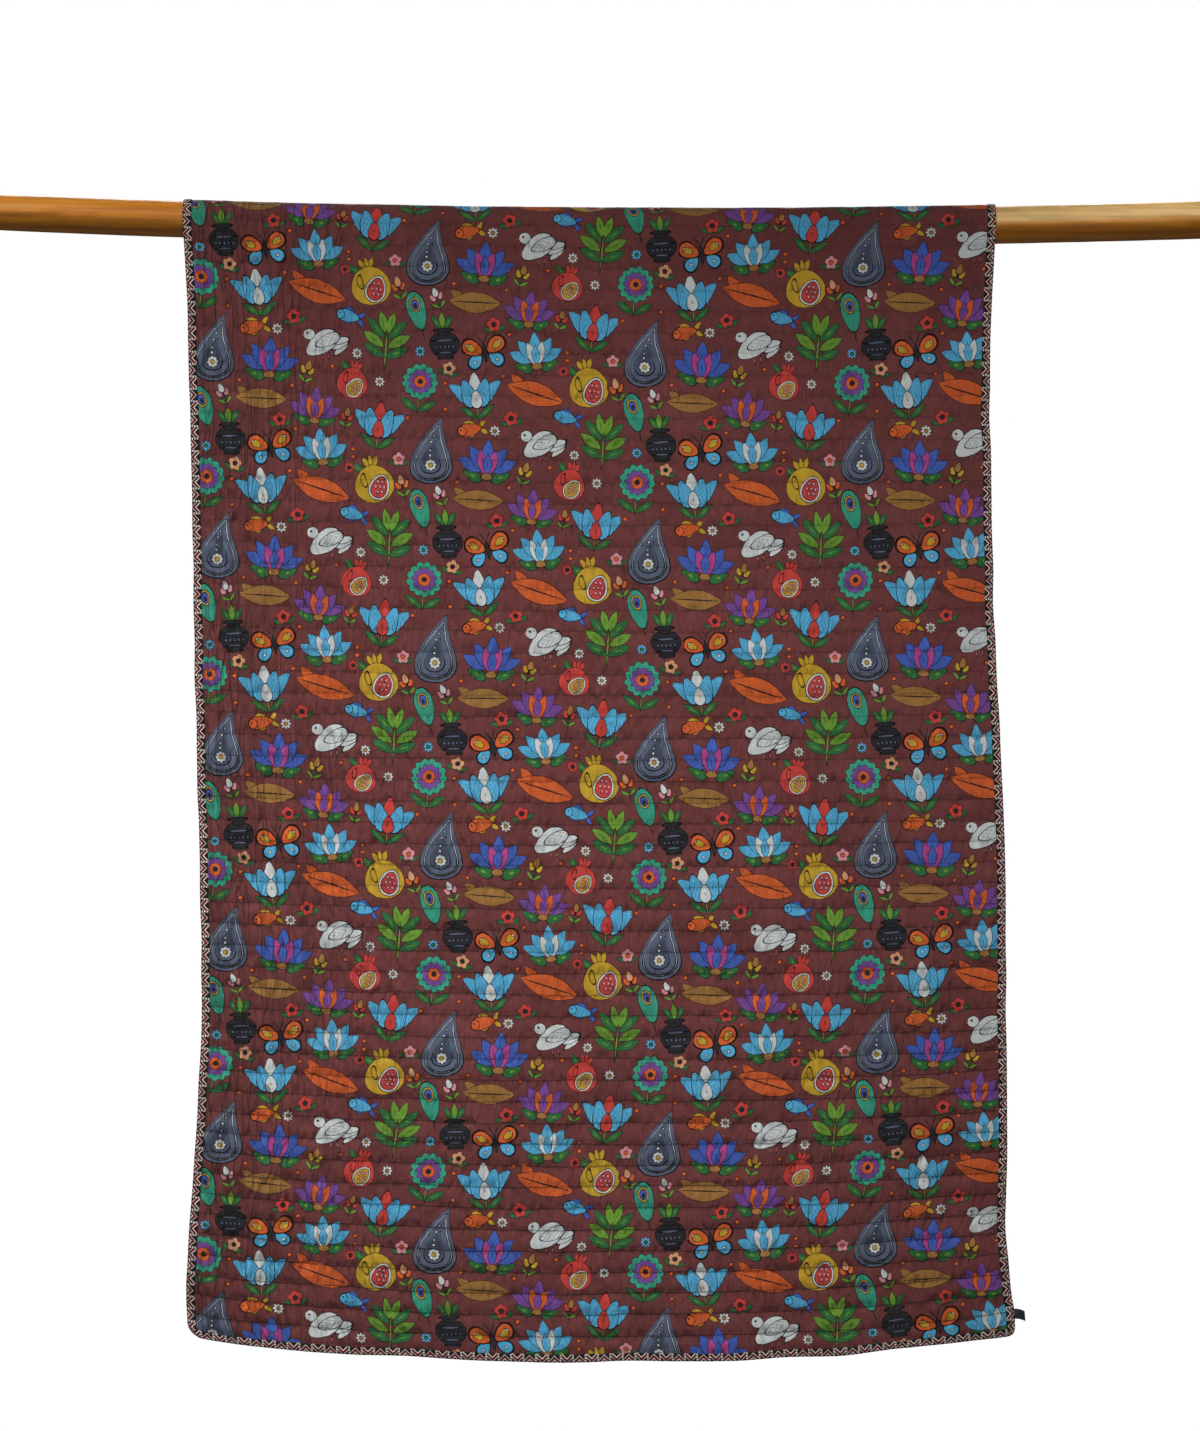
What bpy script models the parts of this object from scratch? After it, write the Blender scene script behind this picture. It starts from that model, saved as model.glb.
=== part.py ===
"""A quilted dohar, a light summer quilt, hanging over a round wooden pole.

Frame: metres, +Z up. The origin is the centre of the pole's left end face. The pole runs along +X,
and the long side of the cloth hangs in front of it, towards -Y. A short flap hangs behind it.

The cloth is worked out on a sheet of two directions. One is the share of the width, from 0 at the
left edge to 1 at the right. The other is the station along the length: station 0 is the front hem,
each line of stitching up the front is a station, then each flat of the pole that the cloth bends
round, and then the lines and the hem of the flap. Between two stations the cloth is straight, apart
from the puff of its channels, so the binding stays parallel to the edge that it wraps.
"""

import math

import bmesh
import bpy
import numpy as np

# Pole: a natural stick, a little bowed and a little thicker at its right end.
POLE_LENGTH = 2.40
POLE_RADIUS_LEFT = 0.0335
POLE_RADIUS_RIGHT = 0.0353
POLE_BOW = 0.017  # metres of rise for each square metre of distance from the lowest point
POLE_LOWEST_AT = 1.386
POLE_SIDES = 30
POLE_STATIONS = 13

# Cloth: a single bed dohar, 1.52 m by 2.29 m laid flat.
HEM_LOWEST = -2.1455  # height of the lowest point of the front hem
FRONT_CHANNELS = 52
HEM_CHANNEL = 0.046  # from the hem to its first line of stitching
FLATS_UNDER_CLOTH = POLE_SIDES // 2
CHANNELS_OVER_POLE = 3
FLAP_CHANNEL = 0.040
FLAP_LENGTH = 0.060
STITCHED_THICKNESS = 0.0016
PUFF_AT_TOP = 0.0018  # how much thicker the middle of a channel is than its stitching
PUFF_AT_HEM = 0.0040
POLE_GAP = 0.00045
PIECE_GAP = 0.0003

# Binding and label.
BINDING_WIDTH = 0.0145
BINDING_CLOTH = 0.0008
LABEL_HEIGHT = 0.018
LABEL_THICKNESS = 0.0010
LABEL_STATION = 0.93  # the height of its middle, as a station of the cloth
LABEL_SEWN_IN = 0.010
LABEL_REACH = 0.0215
LABEL_DROP = 0.007
LABEL_CURL = 0.005

# Side edges of the cloth: share of the front's depth, X of the left edge, X of the right edge.
SIDE_EDGES = (
    (0.00, 0.424, 1.936),
    (0.06, 0.431, 1.928),
    (0.24, 0.441, 1.926),
    (0.37, 0.446, 1.934),
    (0.55, 0.455, 1.951),
    (0.72, 0.459, 1.954),
    (0.81, 0.450, 1.957),
    (0.90, 0.437, 1.955),
    (0.96, 0.431, 1.965),
    (0.98, 0.432, 1.971),
    (1.00, 0.434, 1.972),
)

# Front hem: share of the width, rise above the lowest point.
HEM_RISE = (
    (0.00, 0.048),
    (0.03, 0.040),
    (0.10, 0.027),
    (0.25, 0.012),
    (0.41, 0.000),
    (0.58, 0.003),
    (0.71, 0.008),
    (0.85, 0.022),
    (0.97, 0.041),
    (1.00, 0.047),
)

# Soft folds: share of the width at the top and at the foot, share of the depth where it starts and
# where it ends (past 1 it runs out at the hem), half width, height towards the viewer.
FOLDS = (
    (0.22, 0.29, 0.06, 1.60, 0.200, 0.012),
    (0.54, 0.50, 0.25, 1.60, 0.150, -0.008),
    (0.76, 0.68, 0.15, 1.60, 0.170, 0.010),
    (0.93, 0.90, 0.66, 1.60, 0.110, -0.014),
    (0.03, 0.05, 0.14, 0.72, 0.040, 0.007),
    (0.02, 0.17, 0.24, 0.50, 0.060, 0.006),
    (0.98, 0.87, 0.48, 0.78, 0.060, 0.006),
    (0.40, 0.415, 0.02, 0.85, 0.030, -0.0035),
)

# Columns of the quilt's mesh between its two bound edges, closer together where a fold is narrow.
INNER_COLUMNS = (
    0.040, 0.080, 0.140, 0.210, 0.285, 0.350, 0.385, 0.410, 0.435, 0.500, 0.575, 0.650, 0.730, 0.810,
    0.880, 0.940,
)

COLOURS = {  # base colour as linear red, green and blue, then roughness
    "printed cotton": ((0.090, 0.030, 0.026), 0.85),
    "binding cotton": ((0.300, 0.240, 0.200), 0.85),
    "woven ribbon": ((0.010, 0.012, 0.035), 0.70),
    "turned wood": ((0.460, 0.210, 0.050), 0.50),
}

FIRST_LINE = 1
FRONT_TANGENT = FIRST_LINE + FRONT_CHANNELS
BACK_TANGENT = FRONT_TANGENT + FLATS_UNDER_CLOTH
FLAP_LINE = BACK_TANGENT + 1
FLAP_HEM = FLAP_LINE + 1


def column(table, index):
    """One column of a table, as an array."""
    return np.array([row[index] for row in table])


def pole_centre(x):
    """Height of the pole's centre line, a parabola that is at zero at the left end."""
    return POLE_BOW * ((x - POLE_LOWEST_AT) ** 2 - POLE_LOWEST_AT**2)


def pole_radius(x):
    """Radius of the pole, which tapers evenly."""
    return POLE_RADIUS_LEFT + (POLE_RADIUS_RIGHT - POLE_RADIUS_LEFT) * x / POLE_LENGTH


# From the pole's middle height to the hem's lowest point, where the two lie one above the other.
FRONT_LENGTH = pole_centre(POLE_LOWEST_AT) - HEM_LOWEST


def smooth_step(value):
    """Ease from 0 to 1 as the value goes from 0 to 1."""
    value = np.clip(value, 0.0, 1.0)
    return value * value * (3.0 - 2.0 * value)


def curve_through(table, index, place):
    """Smooth curve through one column of a table: cubic, each point's slope from its neighbours."""
    places, heights = column(table, 0), column(table, index)
    slopes = np.gradient(heights, places)
    low = np.clip(np.searchsorted(places, place, "right") - 1, 0, len(places) - 2)
    span = places[low + 1] - places[low]
    t = (place - places[low]) / span
    ease = t * t * (3.0 - 2.0 * t)
    bend = slopes[low] * t * (1.0 - t) ** 2 - slopes[low + 1] * t * t * (1.0 - t)
    return heights[low] * (1.0 - ease) + heights[low + 1] * ease + span * bend


def edge_x(share, depth):
    """X at a share of the width and a share of the front's depth."""
    left = curve_through(SIDE_EDGES, 1, depth)
    right = curve_through(SIDE_EDGES, 2, depth)
    return left + (right - left) * share


def fold_height(share, depth):
    """How far the soft folds bring the cloth towards the viewer."""
    width = edge_x(1.0, depth) - edge_x(0.0, depth)
    total = 0.0
    for top, foot, start, end, half_width, height in FOLDS:
        along = np.clip((depth - start) / (end - start), 0.0, 1.0)
        middle = top + (foot - top) * along
        across = (share - middle) * width / half_width
        total = total + height * np.exp(-(across**2)) * np.sin(math.pi * along) ** 2
    return total


def edge_lift(share):
    """The cloth's bound edges stand off the pole by the binding that passes under them."""
    bound = (BINDING_WIDTH + 0.001) / (edge_x(1.0, 0.0) - edge_x(0.0, 0.0))
    inside = np.minimum(share, 1.0 - share) - bound
    return (BINDING_CLOTH + PIECE_GAP) * (1.0 - smooth_step(inside / bound / 2.0))


def station_depth(station):
    """Share of the front's depth at a station: 1 at the hem, 0 from the front of the pole on."""
    if station == 0:
        return 1.0
    above_hem_channel = 1.0 - HEM_CHANNEL / FRONT_LENGTH
    return above_hem_channel * max(0.0, FRONT_TANGENT - station) / FRONT_CHANNELS


def cloth_station(station, share):
    """Middle of the cloth's thickness at one whole station, and the direction of its face."""
    depth = station_depth(station)
    x = edge_x(share, depth)
    reach = pole_radius(x) + POLE_GAP + edge_lift(share) + STITCHED_THICKNESS / 2.0
    if station <= FRONT_TANGENT:
        rise = curve_through(HEM_RISE, 1, share)
        y = -reach - fold_height(share, depth)
        z = pole_centre(x) * (1.0 - depth) + HEM_LOWEST * depth + rise * depth**3
        facing = (0.0, -1.0, 0.0)
    elif station <= BACK_TANGENT:
        angle = math.pi * (station - FRONT_TANGENT) / FLATS_UNDER_CLOTH
        y = -reach * math.cos(angle)
        z = pole_centre(x) + reach * math.sin(angle)
        facing = (0.0, -math.cos(angle), math.sin(angle))
    else:
        y = reach
        z = pole_centre(x) - (FLAP_CHANNEL if station == FLAP_LINE else FLAP_LENGTH)
        facing = (0.0, 1.0, 0.0)
    return np.stack([x, y, z], axis=-1), np.array(facing)


class Cloth:
    """The middle of the cloth as a grid of stations and columns, straight between them."""

    def __init__(self):
        width = edge_x(1.0, 0.0) - edge_x(0.0, 0.0)
        bound = (BINDING_WIDTH + 0.001) / width
        self.columns = np.array([0.0, bound, *INNER_COLUMNS, 1.0 - bound, 1.0])
        stations = [cloth_station(station, self.columns) for station in range(FLAP_HEM + 1)]
        self.points = np.array([points for points, facing in stations])
        self.facings = np.array([facing for points, facing in stations])
        self.bound = bound

    def at(self, station, share):
        """Point and facing at a place on the cloth, which may lie just outside its edges."""
        row = int(np.clip(math.floor(station), 0, FLAP_HEM - 1))
        col = int(np.clip(np.searchsorted(self.columns, share, "right") - 1, 0, len(self.columns) - 2))
        down = station - row
        across = (share - self.columns[col]) / (self.columns[col + 1] - self.columns[col])
        near = self.points[row, col] * (1 - across) + self.points[row, col + 1] * across
        far = self.points[row + 1, col] * (1 - across) + self.points[row + 1, col + 1] * across
        facing = self.facings[row] * (1 - down) + self.facings[row + 1] * down
        return near * (1 - down) + far * down, facing / np.linalg.norm(facing)


def quilt_rows():
    """Rows of the quilt's mesh as (station, puff), where puff goes from 0 at a line to 1 mid-channel."""
    under_binding = (BINDING_WIDTH + 0.001) / HEM_CHANNEL
    rows = [(0.0, 0.0), (under_binding, 0.0), ((1.0 + under_binding) / 2.0, 1.0)]
    for line in range(FIRST_LINE, FRONT_TANGENT):
        rows += [(float(line), 0.0), (line + 0.5, 1.0)]
    flats = FLATS_UNDER_CLOTH // CHANNELS_OVER_POLE
    for flat in range(FLATS_UNDER_CLOTH + 1):
        rows.append((float(FRONT_TANGENT + flat), math.sin(math.pi * (flat % flats) / flats)))
    rows += [(BACK_TANGENT + 0.5, 1.0), (float(FLAP_LINE), 0.0), (float(FLAP_HEM), 0.0)]
    return rows


def puff_height(station, share, cloth):
    """Extra thickness in the middle of a channel: more towards the hem, and a little uneven."""
    if share <= cloth.bound or share >= 1.0 - cloth.bound:
        return 0.0
    even = PUFF_AT_TOP + (PUFF_AT_HEM - PUFF_AT_TOP) * station_depth(station)
    return even * (0.85 + 0.15 * math.sin(23.0 * share + 2.3 * station))


def sheet_mesh(front, back):
    """A closed mesh between two equal grids of points."""
    mesh = bmesh.new()
    rows, columns = front.shape[:2]
    faces = [[[mesh.verts.new(p) for p in row] for row in side] for side in (front, back)]
    for row in range(rows - 1):
        for col in range(columns - 1):
            for side, turned in zip(faces, (False, True)):
                ring = [side[row][col], side[row][col + 1], side[row + 1][col + 1], side[row + 1][col]]
                mesh.faces.new(ring[::-1] if turned else ring)
    border = [(0, col) for col in range(columns)]
    border += [(row, columns - 1) for row in range(1, rows)]
    border += [(rows - 1, col) for col in range(columns - 2, -1, -1)]
    border += [(row, 0) for row in range(rows - 2, 0, -1)]
    for here, there in zip(border, border[1:] + border[:1]):
        ring = [faces[0][there[0]][there[1]], faces[0][here[0]][here[1]]]
        ring += [faces[1][here[0]][here[1]], faces[1][there[0]][there[1]]]
        mesh.faces.new(ring)
    return mesh


def ring_mesh(rings, closed):
    """A closed mesh swept through rings of points: joined end to end, or with its two ends filled."""
    mesh = bmesh.new()
    loops = [[mesh.verts.new(p) for p in ring] for ring in rings]
    pairs = list(zip(loops, loops[1:]))
    if closed:
        pairs.append((loops[-1], loops[0]))
    else:
        mesh.faces.new(loops[0][::-1])
        mesh.faces.new(loops[-1])
    for near, far in pairs:
        for index in range(len(near)):
            after = (index + 1) % len(near)
            mesh.faces.new([near[index], near[after], far[after], far[index]])
    return mesh


def add_piece(name, mesh, material, smooth_angle=None):
    """Turn a bmesh into the named object, with its faces outwards and its material."""
    bmesh.ops.recalc_face_normals(mesh, faces=mesh.faces)
    data = bpy.data.meshes.new(name)
    mesh.to_mesh(data)
    mesh.free()
    if smooth_angle is not None:
        data.shade_smooth()
        data.set_sharp_from_angle(angle=math.radians(smooth_angle))
    piece = bpy.data.objects.new(name, data)
    bpy.context.scene.collection.objects.link(piece)
    piece.data.materials.append(material)
    return piece


def make_material(name):
    """A Principled material with this cloth's or wood's plain colour."""
    colour, roughness = COLOURS[name]
    material = bpy.data.materials.new(name)
    material.use_nodes = True
    shader = material.node_tree.nodes["Principled BSDF"]
    shader.inputs["Base Color"].default_value = (*colour, 1.0)
    shader.inputs["Roughness"].default_value = roughness
    shader.inputs["Metallic"].default_value = 0.0
    return material


def add_quilt(cloth, material):
    """The quilted sheet: puffed on both faces, but flat where it lies on the pole."""
    front, back = [], []
    for station, puff in quilt_rows():
        on_pole = FRONT_TANGENT < station < BACK_TANGENT
        front_row, back_row = [], []
        for share in cloth.columns:
            point, facing = cloth.at(station, share)
            swell = puff * puff_height(station, share, cloth)
            outer = STITCHED_THICKNESS / 2.0 + (swell if on_pole else swell / 2.0)
            inner = STITCHED_THICKNESS / 2.0 + (0.0 if on_pole else swell / 2.0)
            front_row.append(point + facing * outer)
            back_row.append(point - facing * inner)
        front.append(front_row)
        back.append(back_row)
    add_piece("quilt", sheet_mesh(np.array(front), np.array(back)), material, smooth_angle=40)


def binding_section():
    """The folded strip's section as (distance in from the cloth's edge, height off its middle)."""
    near = STITCHED_THICKNESS / 2.0 + PIECE_GAP
    far = near + BINDING_CLOTH
    inside = -PIECE_GAP
    outside = -PIECE_GAP - BINDING_CLOTH
    front = [(BINDING_WIDTH, near), (BINDING_WIDTH, far), (outside, far)]
    back = [(outside, -far), (BINDING_WIDTH, -far), (BINDING_WIDTH, -near)]
    return front + back + [(inside, -near), (inside, near)]


def bound_edge(cloth):
    """The way round the cloth's edge as (station, share, their steps for each metre inwards)."""
    across = 1.0 / (cloth.points[:, -1, 0] - cloth.points[:, 0, 0])
    up = 1.0 / HEM_CHANNEL
    down = -1.0 / (FLAP_LENGTH - FLAP_CHANNEL)
    way = [(0, 0.0, up, across[0])]
    way += [(0, share, up, 0.0) for share in cloth.columns[1:-1]]
    way += [(0, 1.0, up, -across[0])]
    way += [(station, 1.0, 0.0, -across[station]) for station in range(1, FLAP_HEM)]
    way += [(FLAP_HEM, 1.0, down, -across[-1])]
    way += [(FLAP_HEM, share, down, 0.0) for share in cloth.columns[-2:0:-1]]
    way += [(FLAP_HEM, 0.0, down, across[-1])]
    way += [(station, 0.0, 0.0, across[station]) for station in range(FLAP_HEM - 1, 0, -1)]
    return way


def add_binding(cloth, material):
    """One strip round the whole edge, mitred at the four corners."""
    rings = []
    for station, share, station_step, share_step in bound_edge(cloth):
        ring = []
        for inward, height in binding_section():
            point, facing = cloth.at(station + inward * station_step, share + inward * share_step)
            ring.append(point + facing * height)
        rings.append(ring)
    add_piece("binding", ring_mesh(rings, closed=True), material, smooth_angle=40)


def add_label(cloth, material):
    """A small folded tab behind the right edge, with its free end curling down and back."""
    behind = STITCHED_THICKNESS / 2.0 + 2.0 * PIECE_GAP + BINDING_CLOTH
    channel = (FRONT_LENGTH - HEM_CHANNEL) / FRONT_CHANNELS
    width = cloth.points[0, -1, 0] - cloth.points[0, 0, 0]
    rings = []
    for out in np.linspace(-LABEL_SEWN_IN, LABEL_REACH, 7):
        free = max(0.0, out / LABEL_REACH)
        curl = np.array((0.0, LABEL_CURL * free**2, -LABEL_DROP * free**2))
        ring = []
        for up, layer in ((-0.5, 0.0), (-0.5, 1.0), (0.5, 1.0), (0.5, 0.0)):
            station = LABEL_STATION + up * LABEL_HEIGHT / channel
            point, facing = cloth.at(station, 1.0 + out / width)
            ring.append(point - facing * (behind + layer * LABEL_THICKNESS) + curl)
        rings.append(ring)
    add_piece("label", ring_mesh(rings, closed=False), material)


def add_pole(material):
    """The bowed, tapering pole. Its sections stay square to X, so its two ends are flat."""
    rings = []
    for x in np.linspace(0.0, POLE_LENGTH, POLE_STATIONS):
        turns = 2.0 * math.pi * np.arange(POLE_SIDES) / POLE_SIDES
        y = pole_radius(x) * np.cos(turns)
        z = pole_centre(x) + pole_radius(x) * np.sin(turns)
        rings.append(np.stack([x + 0.0 * y, y, z], axis=-1))
    add_piece("pole", ring_mesh(rings, closed=False), material, smooth_angle=40)


def main():
    """Clear the scene and build the four pieces."""
    for old in list(bpy.data.objects):
        bpy.data.objects.remove(old)
    materials = {name: make_material(name) for name in COLOURS}
    cloth = Cloth()
    add_quilt(cloth, materials["printed cotton"])
    add_binding(cloth, materials["binding cotton"])
    add_label(cloth, materials["woven ribbon"])
    add_pole(materials["turned wood"])


main()
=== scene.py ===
"""Looks of a quilted dohar that hangs over a wooden pole.

Metres, +Z up, +X along the pole, and the printed face hangs towards -Y. Each cloth surface is a
function of two directions: the share of the width, 0 to 1 from left to right, and the channel, which
counts the lines of stitching from the front hem (0), up the front, over the pole and down the flap.

The pieces are two sheets, the printed face and the lining, the binding strip round both, a ribbon
tab and the pole. The print is a plain garden design of flowers, leaves, fruit, birds and pots, whose
motifs are drawn as formulas in the material, one material to a motif.
"""

import math

import bpy
import numpy as np
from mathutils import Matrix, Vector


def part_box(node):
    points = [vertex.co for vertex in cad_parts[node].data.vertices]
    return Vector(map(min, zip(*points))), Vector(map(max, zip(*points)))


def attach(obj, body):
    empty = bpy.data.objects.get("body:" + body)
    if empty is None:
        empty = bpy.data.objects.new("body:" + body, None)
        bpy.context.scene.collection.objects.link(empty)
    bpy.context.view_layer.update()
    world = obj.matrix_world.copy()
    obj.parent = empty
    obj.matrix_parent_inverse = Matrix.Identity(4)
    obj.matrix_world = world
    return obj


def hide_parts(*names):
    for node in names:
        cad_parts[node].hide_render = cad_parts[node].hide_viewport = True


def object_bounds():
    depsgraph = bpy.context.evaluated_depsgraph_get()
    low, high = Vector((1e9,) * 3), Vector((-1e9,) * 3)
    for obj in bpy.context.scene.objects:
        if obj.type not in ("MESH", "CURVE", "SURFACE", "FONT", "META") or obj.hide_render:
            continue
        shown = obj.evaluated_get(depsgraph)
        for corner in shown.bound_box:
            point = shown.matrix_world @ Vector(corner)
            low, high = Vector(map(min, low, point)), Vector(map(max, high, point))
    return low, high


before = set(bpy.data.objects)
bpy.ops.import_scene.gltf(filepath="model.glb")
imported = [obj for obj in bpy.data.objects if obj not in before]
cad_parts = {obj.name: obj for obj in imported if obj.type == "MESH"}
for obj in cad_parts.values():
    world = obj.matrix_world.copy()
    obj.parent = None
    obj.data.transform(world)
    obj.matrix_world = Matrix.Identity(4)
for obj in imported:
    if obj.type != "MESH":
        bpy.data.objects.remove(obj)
solid_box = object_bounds()

# ---------------------------------------------------------------- sizes

# The solids share these sizes, apart from the puff of the channels, the rounded lower corners and
# what is finer than the folds.
POLE_RADIUS_LEFT = 0.0335
POLE_RADIUS_RIGHT = 0.0353
POLE_BOW = 0.017  # metres of rise for each square metre of distance from the lowest point
POLE_LOWEST_AT = 1.386
POLE_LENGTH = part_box("pole")[1].x
POLE_CHAMFER = 0.0012
POLE_UNEVEN = 0.0006

CUT_WIDTH = 1.52
HEM_LOWEST = -2.1455  # height of the lowest point of the front hem
HEM_CHANNEL = 0.046  # from the hem to its first line of stitching
CHANNEL = 0.0397
FLAP_CHANNEL = 0.040
FLAP_LENGTH = 0.060
FRONT_CHANNELS = 52
FRONT_TANGENT = 1 + FRONT_CHANNELS
BACK_TANGENT = FRONT_TANGENT + 3
FLAP_LINE = BACK_TANGENT + 1
FLAP_HEM = FLAP_LINE + 1
HALF_STITCHED = 0.0008
PUFF_AT_TOP = 0.0014  # how much thicker the middle of a channel is than its stitching
PUFF_AT_HEM = 0.0056
PUFF_FADE = 0.020  # how far from the binding the filling reaches its full height
POLE_GAP = 0.00045
PIECE_GAP = 0.0003

# Heights of what is finer than the folds: gathers between the stitching, broad and smaller waves, and
# ripples that fade inwards from the bound edges. Then how far the edges and the stitching wander.
FINE_GATHER = 0.0008
COARSE_GATHER = 0.0016
BROAD_WAVE = 0.0040
SMALL_WAVE = 0.0016
EDGE_RIPPLE = 0.0040
EDGE_RIPPLE_FADE = 0.035
EDGE_WANDER = 0.0014
LINE_WANDER = 0.0022
# The shares of the front's depth over which these grow from nothing at the pole.
FREE_DEPTH = 0.05
LINE_FREE_DEPTH = 0.04
# The printed face takes this much more than half of the filling, and on the pole it takes all of it,
# which comes about over this many channels on either side.
FACE_PUFF_SHARE = 0.12
POLE_FADE = 0.6

BINDING_WIDTH = 0.0145
BINDING_CLOTH = 0.0008
BINDING_MARGIN = 0.001
BINDING_OVERHANG = 0.0014
ARROW_PITCH = 0.0232
ARROW_HALF = 0.0102
ARROW_TIP = -0.008
ARROW_TAIL = 0.012
DOT_PITCH = 0.0047
DOT_RADIUS = 0.0013

LABEL_HEIGHT = 0.018
LABEL_THICKNESS = 0.0010
LABEL_CHANNEL = 0.93  # the height of its middle, in channels from the hem
LABEL_SEWN_IN = 0.010
LABEL_REACH = 0.0215
LABEL_DROP = 0.007
LABEL_CURL = 0.005
LABEL_WAVE = 0.0008
LABEL_EDGE = 0.03  # how far each rounded edge reaches, as a share of the tab's height

LEFT_ROUNDING = 0.024
RIGHT_ROUNDING = 0.012

# Share of the front's depth, X of the left edge, X of the right edge.
SIDE_EDGES = (
    (0.00, 0.424, 1.936),
    (0.06, 0.431, 1.928),
    (0.24, 0.441, 1.926),
    (0.37, 0.446, 1.934),
    (0.55, 0.455, 1.951),
    (0.72, 0.459, 1.954),
    (0.81, 0.450, 1.957),
    (0.90, 0.437, 1.955),
    (0.96, 0.431, 1.965),
    (0.98, 0.432, 1.971),
    (1.00, 0.434, 1.972),
)

# Share of the width, rise of the front hem above its lowest point.
HEM_RISE = (
    (0.00, 0.048),
    (0.03, 0.040),
    (0.10, 0.027),
    (0.25, 0.012),
    (0.41, 0.000),
    (0.58, 0.003),
    (0.71, 0.008),
    (0.85, 0.022),
    (0.97, 0.041),
    (1.00, 0.047),
)

# The broad folds, which the solid has too: share of the width at the top and at the foot, share of
# the depth where the fold starts and ends, half width, height towards the viewer.
FOLDS = (
    (0.22, 0.29, 0.06, 1.60, 0.200, 0.012),
    (0.54, 0.50, 0.25, 1.60, 0.150, -0.008),
    (0.76, 0.68, 0.15, 1.60, 0.170, 0.010),
    (0.93, 0.90, 0.66, 1.60, 0.110, -0.014),
    (0.03, 0.05, 0.14, 0.72, 0.040, 0.007),
    (0.02, 0.17, 0.24, 0.50, 0.060, 0.006),
    (0.98, 0.87, 0.48, 0.78, 0.060, 0.006),
    (0.40, 0.415, 0.02, 0.85, 0.030, -0.0035),
)

# Soft creases, in the same order of columns: drag lines at the left edge and the top corners, the
# press marks that a folded cloth keeps, and the slack at the lower right.
CREASES = (
    (0.018, 0.030, 0.20, 0.62, 0.009, 0.0030),
    (0.040, 0.052, 0.26, 0.70, 0.010, -0.0028),
    (0.062, 0.070, 0.24, 0.58, 0.011, 0.0024),
    (0.085, 0.080, 0.34, 0.74, 0.012, -0.0018),
    (0.030, 0.022, 0.62, 0.98, 0.011, 0.0022),
    (0.000, 0.110, -0.03, 0.12, 0.012, 0.0020),
    (0.000, 0.060, -0.03, 0.16, 0.010, -0.0018),
    (0.030, 0.210, -0.02, 0.13, 0.016, 0.0014),
    (1.000, 0.930, -0.03, 0.13, 0.012, 0.0016),
    (0.975, 0.965, 0.18, 0.52, 0.010, 0.0016),
    (0.955, 0.900, 0.60, 0.88, 0.016, -0.0026),
    (0.985, 0.925, 0.74, 0.99, 0.014, 0.0024),
    (0.900, 0.860, 0.70, 0.98, 0.020, 0.0022),
    (1.060, 1.030, 0.60, 1.50, 0.120, -0.012),
    (0.402, 0.420, -0.30, 1.30, 0.010, 0.0016),
    (0.410, 0.428, -0.30, 1.30, 0.009, -0.0018),
    (0.772, 0.776, -0.30, 1.30, 0.011, -0.0012),
    (0.120, 0.150, 0.28, 0.44, 0.018, 0.0020),
    (0.300, 0.345, 0.55, 0.80, 0.026, 0.0020),
    (0.560, 0.600, 0.70, 0.96, 0.028, 0.0022),
    (0.700, 0.660, 0.46, 0.72, 0.026, -0.0018),
)

# Share of the depth of the press marks that run from side to side, and their height and half width.
PRESS_MARKS = (0.075, 0.22, 0.405, 0.61, 0.805)
PRESS_HEIGHT = 0.0011
PRESS_HALF_WIDTH = 0.014
FRONT_DROP = 2.1  # about how far the cloth hangs down in front


def curve_through(table, index, place):
    """Smooth curve through one column of a table: cubic, each point's slope from its neighbours."""
    places, heights = np.array([(row[0], row[index]) for row in table]).T
    slopes = np.gradient(heights, places)
    low = np.clip(np.searchsorted(places, place, "right") - 1, 0, len(places) - 2)
    span = places[low + 1] - places[low]
    t = (place - places[low]) / span
    ease = t * t * (3.0 - 2.0 * t)
    bend = slopes[low] * t * (1.0 - t) ** 2 - slopes[low + 1] * t * t * (1.0 - t)
    return heights[low] * (1.0 - ease) + heights[low + 1] * ease + span * bend


def ease(value):
    """Smooth step: 0 below 0, 1 above 1, and 3t^2 - 2t^3 between."""
    value = np.clip(value, 0.0, 1.0)
    return value * value * (3.0 - 2.0 * value)


LATTICE = 512  # cells across the noise's lattice, which then repeats


def soft_noise(x, y, cell_x, cell_y, seed):
    """Noise from -1 to 1: random heights on a lattice of cells, eased from corner to corner."""
    lattice = np.random.default_rng(seed).uniform(-1.0, 1.0, (LATTICE, LATTICE))
    column, row = np.floor(x / cell_x).astype(int), np.floor(y / cell_y).astype(int)
    across, up = ease(x / cell_x - column), ease(y / cell_y - row)
    left, right = column % LATTICE, (column + 1) % LATTICE
    lower, upper = row % LATTICE, (row + 1) % LATTICE
    low = lattice[lower, left] * (1 - across) + lattice[lower, right] * across
    high = lattice[upper, left] * (1 - across) + lattice[upper, right] * across
    return low * (1 - up) + high * up


# ---------------------------------------------------------------- the cloth's shape


def pole_centre(x):
    """Height of the pole's centre line: a parabola that is at zero at the left end."""
    return POLE_BOW * ((x - POLE_LOWEST_AT) ** 2 - POLE_LOWEST_AT**2)


def pole_radius(x):
    """Radius of the pole, which tapers evenly."""
    return POLE_RADIUS_LEFT + (POLE_RADIUS_RIGHT - POLE_RADIUS_LEFT) * x / POLE_LENGTH


def front_depth(channel):
    """Share of the front's depth: 1 at the hem, 0 from the front of the pole on."""
    hem_share = HEM_CHANNEL / (pole_centre(POLE_LOWEST_AT) - HEM_LOWEST)
    above = (1.0 - hem_share) * (FRONT_TANGENT - channel) / FRONT_CHANNELS
    return np.where(channel < 1, 1.0 - hem_share * channel, np.clip(above, 0.0, 1.0))


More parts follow.
